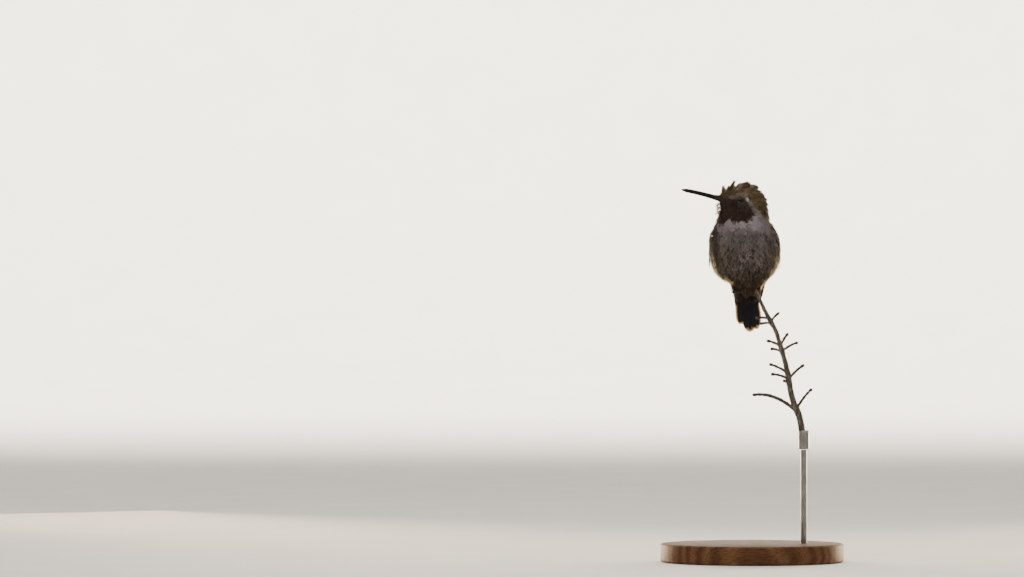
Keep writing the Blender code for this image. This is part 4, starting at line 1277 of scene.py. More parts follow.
# Rings of a lid, from inside the opening's rim outwards: size beside the opening, height off the eye,
# and how far the ring has turned from the opening's outline into a circle
LID_RINGS = (
    (1.00, 0.00, 0.00),
    (0.97, 0.09, 0.00),
    (1.00, 0.17, 0.00),
    (1.07, 0.18, 0.00),
    (1.14, 0.12, 0.15),
    (1.20, 0.14, 0.35),
    (1.25, 0.08, 0.60),
    (1.30, 0.03, 1.00),
)
LID_FINISH = tinted("eyelid_skin", 0.6, grain=0.15, bump=0.5, shine=0.2)


def make_eyes():
    for name, sign, centre in zip(("left", "right"), (1, -1), EYE_SPOTS):
        look = unit(EYE_LOOK * (1, sign, 1)) @ HEAD_AXES
        ahead = unit(FORWARD - look * (FORWARD @ look))
        above = np.cross(look, ahead) * sign
        above = above if above @ HEAD_AXES[2] > 0 else -above
        points, colours = eyeball(centre, look, ahead, above)
        eye = mesh_piece("eyeball_" + name, points, ring_faces(EYE_ROWS, EYE_SIDES), colours)
        finish_piece(eye, tinted("eye_gloss_" + name, 0.12, bump=0.0, shine=0.15), "eye", "eye_" + name)
        lid = make_lid("eyelid_" + name, centre, look, ahead, above)
        finish_piece(lid, LID_FINISH, "eye")


def eyeball(centre, look, ahead, above):
    """Rings from the middle of the cornea to the back, with a pupil in a dark brown iris."""
    points, colours = [], []
    for i in range(EYE_ROWS):
        polar = math.pi * (i + 0.02) / (EYE_ROWS - 0.96)
        cornea = 1 + 0.03 * float(step(0.75, 0.35, polar))
        pupil = float(step(0.50, 0.44, polar))
        iris = float(step(0.98, 0.9, polar))
        for j in range(EYE_SIDES):
            turn = math.tau * j / EYE_SIDES
            across = ahead * math.cos(turn) + above * math.sin(turn)
            way = look * math.cos(polar) + across * math.sin(polar)
            points.append(centre + way * (EYE_RADIUS - 0.02) * cornea)
            streak = 0.006 * (1 + 0.5 * math.sin(turn * 17 + 2 * math.sin(turn * 5)))
            brown = np.array((streak, streak * 0.55, streak * 0.3)) * iris + 0.002
            colours.append(brown * (1 - pupil) + 0.001 * pupil)
    return points, np.array(colours)


def make_lid(name, centre, look, ahead, above):
    """A rolled rim round a half closed eye, and the lids that run back from it under the feathers."""
    half, high, low = OPENING
    points, colours = [], []
    for grown, lift, out in LID_RINGS:
        for j in range(LID_SIDES):
            turn = math.tau * j / LID_SIDES
            tall = high if math.sin(turn) > 0 else low
            x = half * math.cos(turn)
            y = tall * math.sin(turn) * abs(math.sin(turn)) ** 0.25
            wide = EYE_RADIUS * 0.93
            x = x * grown * (1 - out) + wide * math.cos(turn) * out
            y = y * grown * (1 - out) + wide * math.sin(turn) * out
            flat = min(math.hypot(x, y), EYE_RADIUS * 0.985)
            deep = math.sqrt(EYE_RADIUS ** 2 - flat ** 2)
            crease = 0.02 * math.sin(turn * 26 + grown * 9) * (lift > 0.05)
            way = unit(look * deep + ahead * x + above * y)
            points.append(centre + way * (EYE_RADIUS + lift + crease))
            colours.append(np.array((0.022, 0.017, 0.014)) * (1.6 if 0.1 < lift else 0.8))
    return mesh_piece(name, points, ring_faces(len(LID_RINGS), LID_SIDES, caps=False), np.array(colours))


# ---------------------------------------------------------------- bill

BILL_FINISH = tinted("bill_horn", 0.5, grain=0.6, bump=0.15, shine=0.08)
BILL_ROWS, BILL_SIDES = 90, 20
BILL_BACK = 1.2  # how far a mandible runs back into the head
LOWER_REACH = 0.985  # of the upper mandible's length
GROOVES = (0.62, 2.52)  # angles of the side grooves round a mandible
NOSTRIL_AT = 1.9


def make_bill():
    """Two mandibles that meet in a fine line, with a ridge, side grooves and slit nostrils."""
    for name, side in (("upper", 1), ("lower", -1)):
        points, colours = [], []
        reach = BILL_LENGTH * (1.0 if side > 0 else LOWER_REACH)
        for i in range(BILL_ROWS):
            share_all = (i / (BILL_ROWS - 1)) ** 0.92
            along = -BILL_BACK + (reach + BILL_BACK) * share_all
            share = max(along, 0) / BILL_LENGTH
            taper = 1 - (1 - BILL_TIP_SHARE) * share ** 0.6
            end = min(max(1 - share_all, 0.002) / BILL_POINT, 1) ** 0.55
            middle = BILL_BOW * 4 * share * (1 - share) - BILL_DROOP * share ** 2
            groove = float(step(0.62, 0.30, share)) * 0.14
            nostril = 0.12 * math.exp(-((along - NOSTRIL_AT) / 0.8) ** 2) * (side > 0)
            for j in range(BILL_SIDES):
                angle = math.tau * j / BILL_SIDES
                wide = BILL_HALF_WIDTH * taper * math.cos(angle) * end
                deep = BILL_HALF_DEPTH * taper * max(math.sin(angle), 0.0) * end
                ridge = 0.06 * taper * math.exp(-((angle - math.pi / 2) / 0.25) ** 2) * (side > 0)
                dip = groove * sum(math.exp(-((angle - place) / 0.17) ** 2) for place in GROOVES)
                sunk = 1 - (dip + nostril * dip * 4) * 0.8
                under = 0.10 * taper * min(math.sin(angle), 0.0)
                up = middle + side * (0.04 + deep * sunk + ridge - under * 0.4)
                points.append(from_head(np.array(BILL_ROOT) + (along, wide * sunk, up)))
                shade = 0.008 + 0.010 * float(step(0.0, 0.35, 0.35 - share))
                shade += 0.003 * math.sin(along * 2.1 + side)
                colours.append((shade * 1.12, shade * 0.95, shade * 0.82))
        bill = mesh_piece("mandible_" + name, points, ring_faces(BILL_ROWS, BILL_SIDES),
                          np.array(colours).clip(0.004, 1))
        finish_piece(bill, BILL_FINISH, "bill_horn", "bill_" + name)


# ---------------------------------------------------------------- wings

def wing_face(side, t, share, lift):
    """Points on a folded wing's outer face, lifted off it, with the outward direction there. t counts
    the wing's rows, and share runs from the front edge to the rear one."""
    rows = eased(WING_ROWS, t)
    height, front_out, front_y, rear_out, rear_y, _ = rows.T
    if side < 0:
        low, high = TUCK_HEIGHTS
        tuck = RIGHT_WING_TUCK + (1 - RIGHT_WING_TUCK) * np.clip((height - low) / (high - low), 0, 1)
        front_out, rear_out = front_out * tuck, rear_out * tuck
    middle, reach, far = RIGHT_WRIST if side < 0 else LEFT_FLARE
    front_out = front_out + far * np.exp(-((height - middle) / reach) ** 2)
    front, rear = np.stack((front_out, front_y), 1), np.stack((rear_out, rear_y), 1)
    chord = rear - front
    size = np.linalg.norm(chord, axis=1)
    outward = unit(np.stack((chord[:, 1], -chord[:, 0]), 1))
    bulge = size * WING_BULGE * 4 * share * (1 - share) + lift
    spot = front + chord * share[:, None] + outward * bulge[:, None]
    rise = WING_SLANT * size * (share - 0.5)
    points = GRIP + np.stack((WING_MIDDLE + side * spot[:, 0], spot[:, 1], height + rise), 1)
    bow = unit(outward + unit(chord) * (WING_BULGE * 4 * (2 * share - 1))[:, None])
    return points, np.stack((side * bow[:, 0], bow[:, 1], np.zeros(len(bow))), 1)


def along_path(kind, route, facing, half):
    """A feather bent along a route of points, facing outward, with its half width in millimetres:
    its points, and then what it is made of as vane gives it."""
    shape = kind[0]
    length = np.concatenate(((0,), np.cumsum(np.linalg.norm(np.diff(route, axis=0), axis=1))))
    length /= length[-1]

    def at(rows):
        return np.stack([np.interp(shape[:, 1].clip(0, 1), length, rows[:, k]) for k in range(3)], 1)

    spot, way, out = at(route), at(unit(np.gradient(route, axis=0))), unit(at(facing))
    across = unit(np.cross(way, out))
    x = shape[:, 0] / np.abs(shape[:, 0]).max() * half
    sink = 0.05 * (x / half) ** 2 * half
    lift = 0.10 * shape[:, 2] / 0.012 * 0.3
    return spot + across * x[:, None] + out * (lift - sink)[:, None], kind


def long_feathers(name, feathers, centre, edge, rims, start, tip=1.1, dark_root=0.35):
    """One mesh of long feathers. rims says where each one's edge colour begins on its left and right
    webs, start how far along, and past tip all of it is pale. The OFBake unwrap gives each feather a
    strip of its own."""
    parts, colours, places = [], [], []
    for number, ((points, kind), (left, right)) in enumerate(zip(feathers, rims)):
        shape, faces, margin, along = kind
        parts.append((points, faces))
        rim = np.where(shape[:, 0] < 0, left, right)
        share = np.maximum(step(rim, rim + 0.3, margin) * step(start, start + 0.15, along),
                           step(tip - 0.02, tip + 0.03, along))
        tint = blend(centre, edge, share) * (1 - dark_root * step(0.3, 0.0, along))[:, None]
        colours.append(tint * RNG.normal(1, 0.06))
        wide = shape[:, 0] / np.abs(shape[:, 0]).max()
        places.append(np.stack(((number + 0.5 + 0.45 * wide) / len(feathers), inset(along)), 1))
    points, faces = joined(parts)
    made = mesh_piece(name, points, faces, np.concatenate(colours))
    loops = np.concatenate([np.array(face) for face in faces])
    set_unwrap(made.data, np.concatenate(places)[loops])
    return made


PRIMARIES = 10
SECONDARIES = 6
PROUD_EDGE = 0.10  # how far the left wing's outermost feather stands out, as a share of the wing
PROUD_AT, PROUD_REACH = 7.3, 1.1  # where it does, down the wing
SHAFT_POINTS = 40
TAU = np.linspace(0, 1, SHAFT_POINTS)  # how far along its shaft each point of a long feather's route is
WING_ARM_ROWS, WING_ARM_SIDES = 36, 28
WING_ARM_SPAN = (0.15, 4.5)
WING_EDGE_SPAN = (4.8, 9.6)
WING_EDGE_SHARE = 0.03  # behind the wing's front edge
WING_EDGE_RADIUS = 0.46


def make_wing(name, side):
    make_primaries(name, side)
    make_secondaries(name, side)
    make_wing_edge(name, side)
    make_wing_arm(name, side)
    make_coverts(name, side)


def make_primaries(name, side):
    """The long flight feathers, fanned from the outermost at the front edge to the innermost."""
    flight = []
    webs = (1.0, 0.62) if side > 0 else (0.62, 1.0)
    for number in range(PRIMARIES):
        inner = (PRIMARIES - 1 - number) / (PRIMARIES - 1)  # 0 for the outermost, 1 for the innermost
        t = 2.3 + (10.95 - 4.5 * inner ** 0.9 - 2.3) * TAU
        share = (0.13 + 0.28 * inner) + (0.20 + 0.32 * inner) * TAU ** 1.1
        if number == PRIMARIES - 1 and side > 0:
            share -= PROUD_EDGE * np.exp(-((t - PROUD_AT) / PROUD_REACH) ** 2)
        route, facing = wing_face(side, t, share, np.full(len(TAU), -0.35 + 0.60 * inner))
        kind = vane(64, 0.05, 0.07, widest=0.45, sides=webs, ragged=0.012, closed=1.5, bluntness=0.42,
                    seed=100 + number)
        flight.append(along_path(kind, route, facing, 2.0 - 0.35 * (1 - inner)))
    piece = long_feathers("flight_feathers_" + name, flight, WING, WING_EDGE,
                          [(0.8, 0.8)] * PRIMARIES, 0.1)
    finish_piece(piece, FLIGHT_FINISH, "wing_feathers", "wing_%s_primaries" % name)


def make_secondaries(name, side):
    """The shorter flight feathers that lie over the primaries' bases."""
    flight = []
    for number in range(SECONDARIES):
        inner = number / (SECONDARIES - 1)
        t = 2.6 + (3.1 - 0.75 * inner) * TAU
        share = (0.50 + 0.26 * inner) + (0.26 + 0.02 * inner) * TAU
        route, facing = wing_face(side, t, share, 0.05 + (0.30 + 0.11 * number) * step(0.1, 0.6, TAU))
        kind = vane(34, 0.11, 0.16, widest=0.6, sides=(1.0, 0.8), ragged=0.02, closed=1.45,
                    bluntness=0.45, seed=130 + number)
        flight.append(along_path(kind, route, facing, 2.1))
    piece = long_feathers("secondaries_" + name, flight, np.multiply(WING, 1.15), WING_EDGE,
                          [(0.6, 0.6)] * SECONDARIES, 0.1)
    finish_piece(piece, FLIGHT_FINISH, "wing_feathers")


def make_wing_edge(name, side):
    """The front edges of the primaries, which lie stacked on each other as one thick dark line."""
    t = np.linspace(*WING_EDGE_SPAN, 40)
    route, _ = wing_face(side, t, np.full(len(t), WING_EDGE_SHARE), np.full(len(t), -0.25))
    radii = WING_EDGE_RADIUS * step(4.6, 6.2, t) * (1 - 0.6 * step(8.2, 9.6, t))
    points, faces = tube(route, radii.clip(0.05))
    colours = np.tile(np.multiply(WING, 0.6), (len(points), 1))
    stack = mesh_piece("wing_edge_" + name, points, faces, colours)
    finish_piece(stack, FLIGHT_FINISH, "wing_feathers", "wing_%s_primaries" % name)


def make_wing_arm(name, side):
    """The arm and hand under the coverts: a thin smooth blade."""
    points = []
    for t in np.linspace(*WING_ARM_SPAN, WING_ARM_ROWS):
        angle = np.arange(WING_ARM_SIDES) * math.tau / WING_ARM_SIDES
        share = 0.5 - 0.47 * np.cos(angle)
        thick = 0.10 * np.sin(angle) * math.sin(min(t / 0.8, 1) * math.pi / 2)
        spots, _ = wing_face(side, np.full(WING_ARM_SIDES, t), share, thick)
        points.append(spots)
    points = np.concatenate(points)
    arm = mesh_piece("wing_arm_" + name, points, ring_faces(WING_ARM_ROWS, WING_ARM_SIDES),
                     np.tile(WING, (len(points), 1)))
    finish_piece(arm, tinted("wing_arm", 0.7), "wing_feathers", "wing_" + name)


FLIGHT_FINISH = tinted("flight_feather", 0.75, grain=0.4, shine=0.08)
COVERT_FINISH = tinted("covert_feather", 0.7, metallic=0.1, grain=0.4, shine=0.08)
# Rows of coverts: from and to down the wing, spacing, length, half width as a share of that, lift in
# degrees, share of green ones, and their finish
COVERT_ROWS = (
    ("greater", 2.9, 4.1, 1.30, 6.2, 0.24, 7, 0.1, FLIGHT_FINISH),
    ("median", 1.9, 3.2, 1.10, 4.0, 0.32, 9, 0.55, COVERT_FINISH),
    ("lesser", 0.25, 2.3, 0.85, 2.5, 0.38, 11, 0.9, COVERT_FINISH),
)
WING_ROW_PITCH = 4.6  # about how many millimetres from one of WING_ROWS to the next


def covert_places(low, high, pitch):
    """Places of overlapping feathers down the wing and across it, in staggered rows."""
    places = []
    for row, t in enumerate(np.arange(low, high, pitch / WING_ROW_PITCH)):
        chord = np.linalg.norm(np.diff(eased(WING_ROWS, [t])[0][1:5].reshape(2, 2), axis=0))
        count = max(int(chord / pitch), 2)
        for column in range(count + 1):
            share = 0.02 + 0.96 * (column + 0.5 * (row % 2)) / count
            places.append((t + RNG.normal(0, 0.05), share + RNG.normal(0, 0.012)))
    ts, shares = np.array(places).T
    return ts.clip(0.1, 11), shares.clip(0, 1)


def make_coverts(name, side):
    for order, (kind, low, high, pitch, length, wide, lift, green, finish) in enumerate(COVERT_ROWS):
        ts, shares = covert_places(low, high, pitch)
        count = len(ts)
        roots, facing = wing_face(side, ts, shares, np.full(count, 0.34 + 0.20 * order))
        onward, _ = wing_face(side, ts + 0.3, shares + 0.01, np.full(count, 0.45 + 0.12 * order))
        kinds = vanes(5, 150, 14, wide, 0.32, ragged=0.05)
        sizes = length * RNG.normal(1, 0.07, count)
        placed, pick = grow(kinds, roots, onward - roots, facing, sizes, RNG.normal(1, 0.06, count),
                            np.radians(lift + RNG.normal(0, 2, count)), np.full(count, 0.03))
        greens = (RNG.random(count) < green) * 0.85
        across = 0.02 + 0.3 * shares + 0.34 * (side > 0)
        places = np.stack((across, 0.1 + 0.8 * (ts - low) / (high - low)), 1)
        made = coat_mesh("coverts_%s_%s" % (kind, name), kinds, placed, pick, blend(WING, BACK, greens),
                         blend(WING_EDGE, BACK_EDGE, greens), places, rim=0.6)
        finish_piece(made, finish, "wing_feathers")


# ---------------------------------------------------------------- tail

# Tail feathers from the bird's right to its left: how far across the tip is, and how much shorter
# than the tail's outline it is
RECTRICES = ((-4.2, 0.0), (-3.4, 1.3), (-1.1, 0.6), (-0.5, 0.1), (0.3, 0.0), (0.9, 0.2), (1.8, 0.9),
             (3.2, -0.1), (3.7, -0.6), (4.2, -0.3))
TAIL_FEATHER_HALF = 2.25
TAIL_SUNK = 2.2  # how far the feathers start inside the vent
TAIL_FINISH = tinted("tail_feather", 0.5, grain=0.4, glow=0.28, shine=0.2)
NO_RIM = 2.0


def make_tail():
    along = unit(np.array(TAIL_DIRECTION))
    across = unit(np.array((1, 0, 0)) - along * along[0])
    under = np.cross(across, along)
    under = -under if under[1] > 0 else under
    facing = np.tile(under, (SHAFT_POINTS, 1))
    last = len(RECTRICES) - 1
    feathers = []
    for number, (tip, short) in enumerate(RECTRICES):
        length = TAIL_LENGTH - TAIL_DROP * (tip - TAIL_LONGEST_AT) ** 2 - short
        far = -TAIL_SUNK + (length + TAIL_SUNK) * TAU
        aside = tip * (0.62 + 0.38 * np.clip(far / 14.0, 0, 1) ** 0.8)
        layer = 0.16 * abs(number - last / 2) - 0.45 + TAIL_BOW * aside ** 2
        route = TAIL_ROOT + along * far[:, None] + across * aside[:, None] + under * layer[:, None]
        webs = (0.72, 1.0) if tip < TAIL_LONGEST_AT else (1.0, 0.72)
        kind = vane(56, 0.1, 0.10, widest=0.62, sides=webs, ragged=0.02, closed=1.5, bluntness=0.40,
                    seed=170 + number)
        feathers.append(along_path(kind, route, facing, TAIL_FEATHER_HALF))
    # The outer webs of the outermost feathers and all the tips take the edge colour: pale edges with a
    # painted glow of light from behind
    rims = [(NO_RIM, NO_RIM) for _ in RECTRICES]
    rims[0] = (NO_RIM, 0.5)
    rims[last] = (0.55, NO_RIM)
    tail = long_feathers("tail_feathers", feathers, TAIL, TAIL_EDGE_AND_BACK_GLOW, rims, 0.45, tip=0.95)
    return finish_piece(tail, TAIL_FINISH, "tail_feathers", "tail")


# ---------------------------------------------------------------- feet

TOE_RADIUS = 0.34
TOE_SPACING = 0.78
TOE_CLEARANCE = 0.16
# How far each toe and its claw wrap round the stem, in degrees; the hind toe goes the other way
FRONT_SWEEP, HIND_SWEEP, CLAW_SWEEP = 215, 120, 46.0
SCUTES = 9
# Height above the grip and compass side of each foot's pad, and the route of its shank from the grip
FEET = {"left": (2.0, 58.0), "right": (4.3, 122.0)}
SHANKS = {
    "left": ((0.55, 1.95, 3.8), (0.8, 2.2, 5.5), (-0.2, 1.4, 9.2)),
    "right": ((-3.2, 1.6, 6.0), (-3.4, 1.8, 6.9), (-2.7, 1.4, 9.2)),
}
FOOT_FINISH = tinted("foot_skin", 0.55, grain=0.2, bump=0.4)


def stem_near(height):
    """The stem's centre, radius and downward direction at a height above the grip."""
    def at(column):
        return np.interp(-height, -STEM_LINE[:, 2], column)

    down = unit(np.array([at(np.gradient(STEM_LINE[:, k])) for k in (0, 1, 2)]))
    return GRIP + (at(STEM_LINE[:, 0]), at(STEM_LINE[:, 1]), height), at(STEM_LINE[:, 3]), down


def toe(foot, sweep, offset):
    """A toe's route round the stem, the route of its claw, and the place of the pad it starts from."""
    height, pad_side = FEET[foot]
    centre, stem_radius, down = stem_near(height + offset)
    out = np.array((math.cos(math.radians(pad_side)), math.sin(math.radians(pad_side)), 0))
    out = unit(out - down * (out @ down))
    aside = np.cross(down, out)
    reach = stem_radius + TOE_CLEARANCE + TOE_RADIUS

    def route(start, end, count, lift):
        angles = np.radians(np.linspace(start, end, count))[:, None]
        far = (reach + lift * np.linspace(0, 1, count))[:, None]
        return centre + (out * np.cos(angles) + aside * np.sin(angles)) * far

    claw = route(sweep * 0.985, sweep + math.copysign(CLAW_SWEEP, sweep), 12, 0.12)
    return route(0, sweep, 34, 0.0), claw, out * (reach + 0.2)


def plain_piece(name, mesh, colour, material, *nodes):
    """A piece of the feet in colours that are given for each point, or for all of them."""
    points, faces = mesh
    colours = np.broadcast_to(colour, (len(points), 3))
    finish_piece(mesh_piece(name, points, faces, colours), material, "foot_skin", *nodes)


def make_feet():
    for name, (height, pad_side) in FEET.items():
        turn = 1 if pad_side < 90 else -1
        toes, claws = [], []
        for sweep, offset in ((FRONT_SWEEP, -TOE_SPACING), (FRONT_SWEEP, 0), (FRONT_SWEEP, TOE_SPACING),
                              (-HIND_SWEEP, TOE_SPACING / 2)):
            route, claw, pad = toe(name, turn * sweep, offset)
            share = np.linspace(0, 1, len(route))
            scutes = 1 + 0.07 * np.abs(np.sin(share * math.pi * SCUTES))
            toes.append(tube(route, TOE_RADIUS * (1.0 - 0.22 * share) * scutes, 14))
            claws.append(tube(claw, TOE_RADIUS * np.linspace(0.72, 0.12, len(claw)), 12))
        centre, _, down = stem_near(height)
        share = np.linspace(-1, 1, 12)
        sole = centre + pad + down * share[:, None] * 1.25
        toes.append(tube(sole, 0.66 * np.sqrt(1 - 0.75 * share ** 2), 16))
        mesh = joined(toes)
        shade = 0.030 + 0.014 * ripple(mesh[0], 0.7, 5)
        plain_piece("toes_" + name, mesh, shade[:, None] * (1.15, 1.0, 0.92), FOOT_FINISH, "foot_" + name)
        plain_piece("claws_" + name, joined(claws), 0.012, BILL_FINISH)
        shank = GRIP + eased(np.array(SHANKS[name]), np.linspace(0, 2, 26))
        share = np.linspace(0, 1, len(shank))
        mesh = tube(shank, (0.42 + 0.12 * share) * (1 + 0.05 * np.abs(np.sin(share * 24))), 14)
        plain_piece("shank_" + name, mesh, 0.030, FOOT_FINISH, "leg_" + name)


# ---------------------------------------------------------------- stem

BARK_VOXEL = 0.17
NODE_SWELL = 0.14  # how much the stem thickens where a shoot leaves it
BARK = (0.066, 0.050, 0.038)
BARK_PALE = (0.130, 0.106, 0.082)
BARK_DARK = (0.030, 0.020, 0.014)


def shoot(height, length, rise, turn):
    """A side shoot as a tube: it arches over to a knobbed end."""
    root, radius, _ = stem_near(height)
    rise, turn = math.radians(rise), math.radians(turn)
    out = np.array((math.cos(rise) * math.cos(turn), math.cos(rise) * math.sin(turn), math.sin(rise)))
    arch = (LONG_SHOOT_ARCH if length > LONG_SHOOT else SHOOT_ARCH) * length
    far = np.linspace(0, length + BUD_RADIUS, 40)
    share = (far / length).clip(0, 1)
    route = root + out * far[:, None] + np.outer(4 * arch * share * (1 - share), (0, 0, 1))
    thick = min(SHOOT_RADIUS + 0.012 * length, radius * 0.8)
    knob = np.exp(-((far - length + 0.2) / 0.75) ** 2)
    radii = thick * (1.15 - 0.2 * share + 0.10 * np.sin(far * 2.3)) + (BUD_RADIUS - 0.9 * thick) * knob
    radii *= np.sqrt(1 - ((far - length) / BUD_RADIUS).clip(0, 0.97) ** 2)
    return tube(route, radii, 14)


def stem_mesh():
    """The stem and its side shoots as one even mesh. Returns its object."""
    swell = sum(np.exp(-((STEM_LINE[:, 2] - row[0]) / 1.1) ** 2) for row in SHOOTS[1:])
    main = tube(GRIP + STEM_LINE[:, :3], STEM_LINE[:, 3] * (1 + NODE_SWELL * swell.clip(0, 1)), 24)
    stem = mesh_piece("stem", *joined([main] + [shoot(*row) for row in SHOOTS]))
    remesh = stem.modifiers.new("even", "REMESH")
    remesh.mode = "VOXEL"
    remesh.voxel_size = BARK_VOXEL * MM
    soft = stem.modifiers.new("soft", "SMOOTH")
    soft.factor = 0.5
    soft.iterations = 2
    bpy.context.view_layer.update()
    made = bpy.data.meshes.new_from_object(stem.evaluated_get(bpy.context.evaluated_depsgraph_get()))
    stem.modifiers.clear()
    stem.data = made
    return stem


def bark_colours(points, ridges, knots):
    """Paler on the ridges, and darker in the cracks and on the shoots, with a painted shadow of the bird
    under its vent.
    """
    tone = blend(BARK, BARK_PALE, step(0.0, 1.0, ridges + 0.4 * knots))
    tone = blend(tone, BARK_DARK, 0.8 * step(-0.1, -1.1, ridges))
    x, y = [np.interp(-points[:, 2], -GRIP[2] - STEM_LINE[:, 2], GRIP[k] + STEM_LINE[:, k]) for k in (0, 1)]
    off_centre = np.hypot(points[:, 0] - x, points[:, 1] - y)
    tone = blend(tone, BARK_DARK, 0.75 * step(1.5, 5.0, off_centre))
    # Painted shadow of the bird's body on the stem, just under its vent
    x, _, z = (points - GRIP).T
    shade = 0.5 * step(-1.0, -3.0, x) * step(-6.0, -3.0, z)
    return tone * (1 - shade)[:, None]


def make_stem():
    """The stem, with ridged and knotted bark worked into its surface."""
    stem = stem_mesh()
    mesh = stem.data
    flat = np.zeros(len(mesh.vertices) * 3)
    mesh.vertices.foreach_get("co", flat)
    points = flat.reshape(-1, 3) / MM
    mesh.vertices.foreach_get("normal", flat)
    normals = flat.reshape(-1, 3)
    ridges = ripple(points * (1, 1, 0.16), 0.9, 11) + 0.6 * ripple(points * (1, 1, 0.3), 0.45, 12)
    knots = ripple(points * (0.4, 0.4, 1), 2.6, 13)
    points += normals * (0.04 + 0.05 * ridges + 0.05 * np.maximum(knots, 0))[:, None]
    mesh.vertices.foreach_set("co", (points * MM).ravel())
    set_tint(mesh, bark_colours(points, ridges, knots))
    mesh.shade_smooth()
    return finish_piece(stem, tinted("bark", 0.85, grain=0.3, bump=0.6), "stem_bark", "perch_stem")


# ---------------------------------------------------------------- stand

def lathe(name, profile, centre, sides=160, caps=True):
    """A turned piece: its profile runs up its outside."""
    points = []
    for radius, height in profile:
        angle = np.arange(sides)[:, None] * math.tau / sides
        points.append(np.concatenate((centre[0] + radius * np.cos(angle), centre[1] + radius * np.sin(angle),
                                      np.full((sides, 1), height)), 1))
    return mesh_piece(name, np.concatenate(points), ring_faces(len(profile), sides, caps=caps))


def rounded(radius, low, high, bevel, steps=5):
    """A cylinder's profile with rounded edges."""
    turn = [math.radians(90 * i / steps) for i in range(steps + 1)]
    bottom = [(radius - bevel + bevel * math.sin(a), low + bevel - bevel * math.cos(a)) for a in turn]
    top = [(radius - bevel + bevel * math.cos(a), high - bevel + bevel * math.sin(a)) for a in turn]
    return bottom + top


def box_mm(node):
    low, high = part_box(node)
    return np.array(low) / MM, np.array(high) / MM


def make_stand():
    low, high = box_mm("stand_base")
    base = lathe("stand_base_turned", rounded(high[0], low[2], high[2], 1.2), (0, 0))
    finish_piece(base, wood(), "stand_wood", "stand_base")
    low, high = box_mm("stand_rod")
    middle = (low + high) / 2
    rod = lathe("stand_rod_turned", rounded((high[0] - low[0]) / 2, low[2], high[2], 0.15), middle, 48)
    finish_piece(rod, steel(), "stand_steel", "stand_rod")
    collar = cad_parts["stand_collar"]
    collar.data.materials.clear()
    collar.data.materials.append(steel())


def wood():
    """Dark oiled wood with rings seen as grain, pores and a soft polish."""
    made, nt, shader = tree_for("oiled_wood")
    coords = add_node(nt, "TexCoord")
    placed = add_node(nt, "Mapping", Location=(0.02, 0.30, 0.0), Scale=(0.16, 1.0, 1.0),
                      Vector=coords.outputs["Object"])
    rings = add_node(nt, "TexWave", Scale=70.0, Distortion=5.0, Detail=3.0, Detail_Scale=1.2,
                     Vector=placed.outputs["Vector"])
    rings.wave_type = "RINGS"
    rings.rings_direction = "X"
    pores = noise(nt, 0.5, 4.0, (0.06, 1.0, 1.0))
    patches = noise(nt, 18.0, 2.0, (0.4, 1.0, 1.0))
    grain = ranged(nt, rings.outputs["Fac"], 0.0, 1.0, 0.1, 0.9)
    base = mixed(nt, "MIX", grain, (0.080, 0.036, 0.017), (0.150, 0.074, 0.036))
    broad = mixed(nt, "MIX", ranged(nt, patches, 0.0, 0.6), base, (0.105, 0.050, 0.022))
    colour = mixed(nt, "MULTIPLY", ranged(nt, pores, 0.75, 0.0, 0.35, 0.55), broad, (0.35, 0.30, 0.28))
    nt.links.new(colour, shader.inputs["Base Color"])
    nt.links.new(ranged(nt, pores, 0.70, 0.52), shader.inputs["Roughness"])
    shader.inputs["Specular IOR Level"].default_value = 0.08
    bumped(nt, shader, pores, 0.25, 0.08)
    return made


def steel():
    """Brushed steel."""
    made, nt, shader = tree_for("brushed_steel")
    lines = noise(nt, 0.25, 2.0, (1.0, 1.0, 0.02))
    cloud = ranged(nt, noise(nt, 6.0, 2.0), 0.0, 1.0)
    colour = mixed(nt, "MIX", cloud, (0.19, 0.185, 0.18), (0.26, 0.255, 0.25))
    nt.links.new(colour, shader.inputs["Base Color"])
    nt.links.new(ranged(nt, lines, 0.28, 0.44), shader.inputs["Roughness"])
    shader.inputs["Metallic"].default_value = 1.0
    shader.inputs["Specular Tint"].default_value = (0.45, 0.45, 0.45, 1.0)
    bumped(nt, shader, lines, 0.15, 0.03)
    return made


# ---------------------------------------------------------------- stage, lights and camera

def make_stage():
    """A round pale floor that curves up into a backdrop on every side."""
    turns = [math.radians(90 * i / 16) for i in range(17)]
    profile = [(0.0, 0.0)] + [(FLOOR_RADIUS + BACKDROP_CURVE * math.sin(turn),
                               BACKDROP_CURVE * (1 - math.cos(turn))) for turn in turns]
    profile.append((FLOOR_RADIUS + BACKDROP_CURVE, BACKDROP_HEIGHT))
    stage = lathe("stage_sweep", profile, (0, 0), sides=96, caps=False)
    made, nt, shader = tree_for("pale_paper")
    cloud = ranged(nt, noise(nt, 60.0), 0.0, 1.0)
    colour = mixed(nt, "MIX", cloud, (0.80, 0.77, 0.72), (0.84, 0.81, 0.76))
    nt.links.new(colour, shader.inputs["Base Color"])
    shader.inputs["Roughness"].default_value = 0.9
    stage.data.materials.append(made)


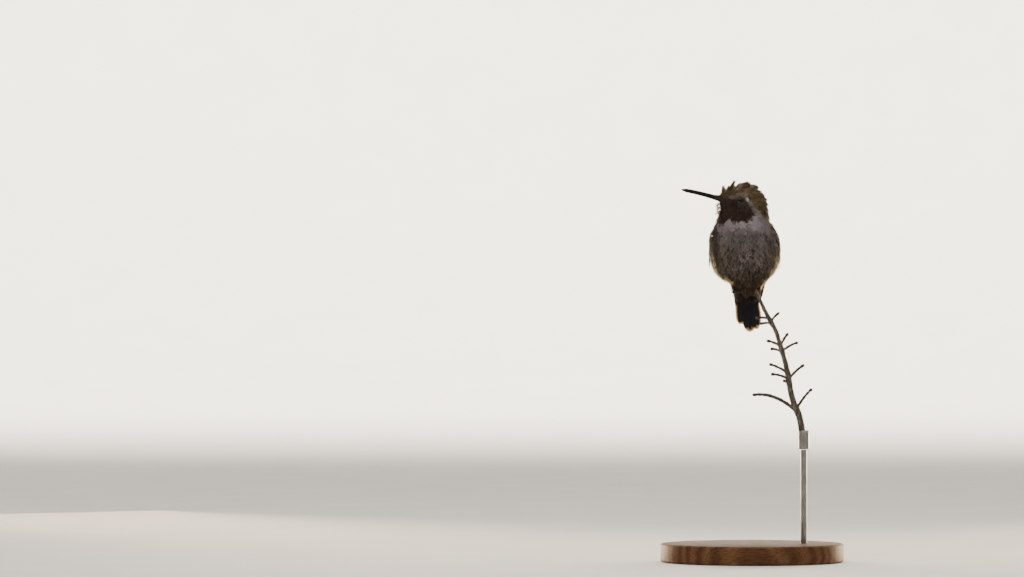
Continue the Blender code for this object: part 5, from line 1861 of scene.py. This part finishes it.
# Lights: place, what each points at from the grip, size, power in watts, spread in degrees and colour
LIGHTS = (
    ("key", (-700, -1500, 1100), (-4, -4, 22), 900, 14.0, 180, (1.0, 0.97, 0.93)),
    ("fill", (1200, -1300, 500), (-4, -4, 22), 1200, 3.6, 180, (0.90, 0.94, 1.0)),
    ("rim_left", (-420, 640, 40), (-4, 0, 8), 240, 2.8, 60, (1.0, 0.78, 0.50)),
    ("rim_right", (470, 620, 60), (-4, 0, 8), 240, 2.4, 60, (1.0, 0.78, 0.50)),
    ("top", (0, 150, 1300), (-4, -4, 22), 700, 4.0, 120, (1.0, 0.96, 0.90)),
    ("backdrop_left", (-1500, 2300, 2600), (-600, 4500, 700), 900, 130.0, 120, (1.0, 0.95, 0.86)),
    ("backdrop_right", (1500, 2300, 2600), (600, 4500, 700), 900, 130.0, 120, (1.0, 0.95, 0.86)),
)


def make_lights():
    for name, place, aim, size, power, spread, colour in LIGHTS:
        data = bpy.data.lights.new(name, "AREA")
        data.shape = "DISK"
        data.size = size * MM
        data.energy = power
        data.spread = math.radians(spread)
        data.color = colour
        light = add_object(name, data)
        light.location = Vector(place) * MM
        away = light.location - Vector(GRIP + aim) * MM
        light.rotation_euler = away.to_track_quat("Z", "Y").to_euler()
    world = bpy.data.worlds.new("studio")
    world.use_nodes = True
    world.node_tree.nodes["Background"].inputs["Color"].default_value = (0.90, 0.92, 1.0, 1.0)
    world.node_tree.nodes["Background"].inputs["Strength"].default_value = 0.30
    bpy.context.scene.world = world


def make_camera():
    data = bpy.data.cameras.new("camera")
    data.sensor_width = 36.0
    data.lens = data.sensor_width * -CAMERA_PLACE[1] / VIEW_WIDTH
    data.clip_start = 0.1
    data.clip_end = 20.0
    camera = add_object("camera", data)
    camera.location = Vector(CAMERA_PLACE) * MM
    camera.rotation_euler = (math.radians(90), 0, 0)
    bpy.context.scene.camera = camera


make_camera()
make_lights()
make_stage()
make_stand()
make_stem()
make_feet()
make_skin()
make_coat()
make_tail()
make_wing("left", 1)
make_wing("right", -1)
make_bill()
make_eyes()
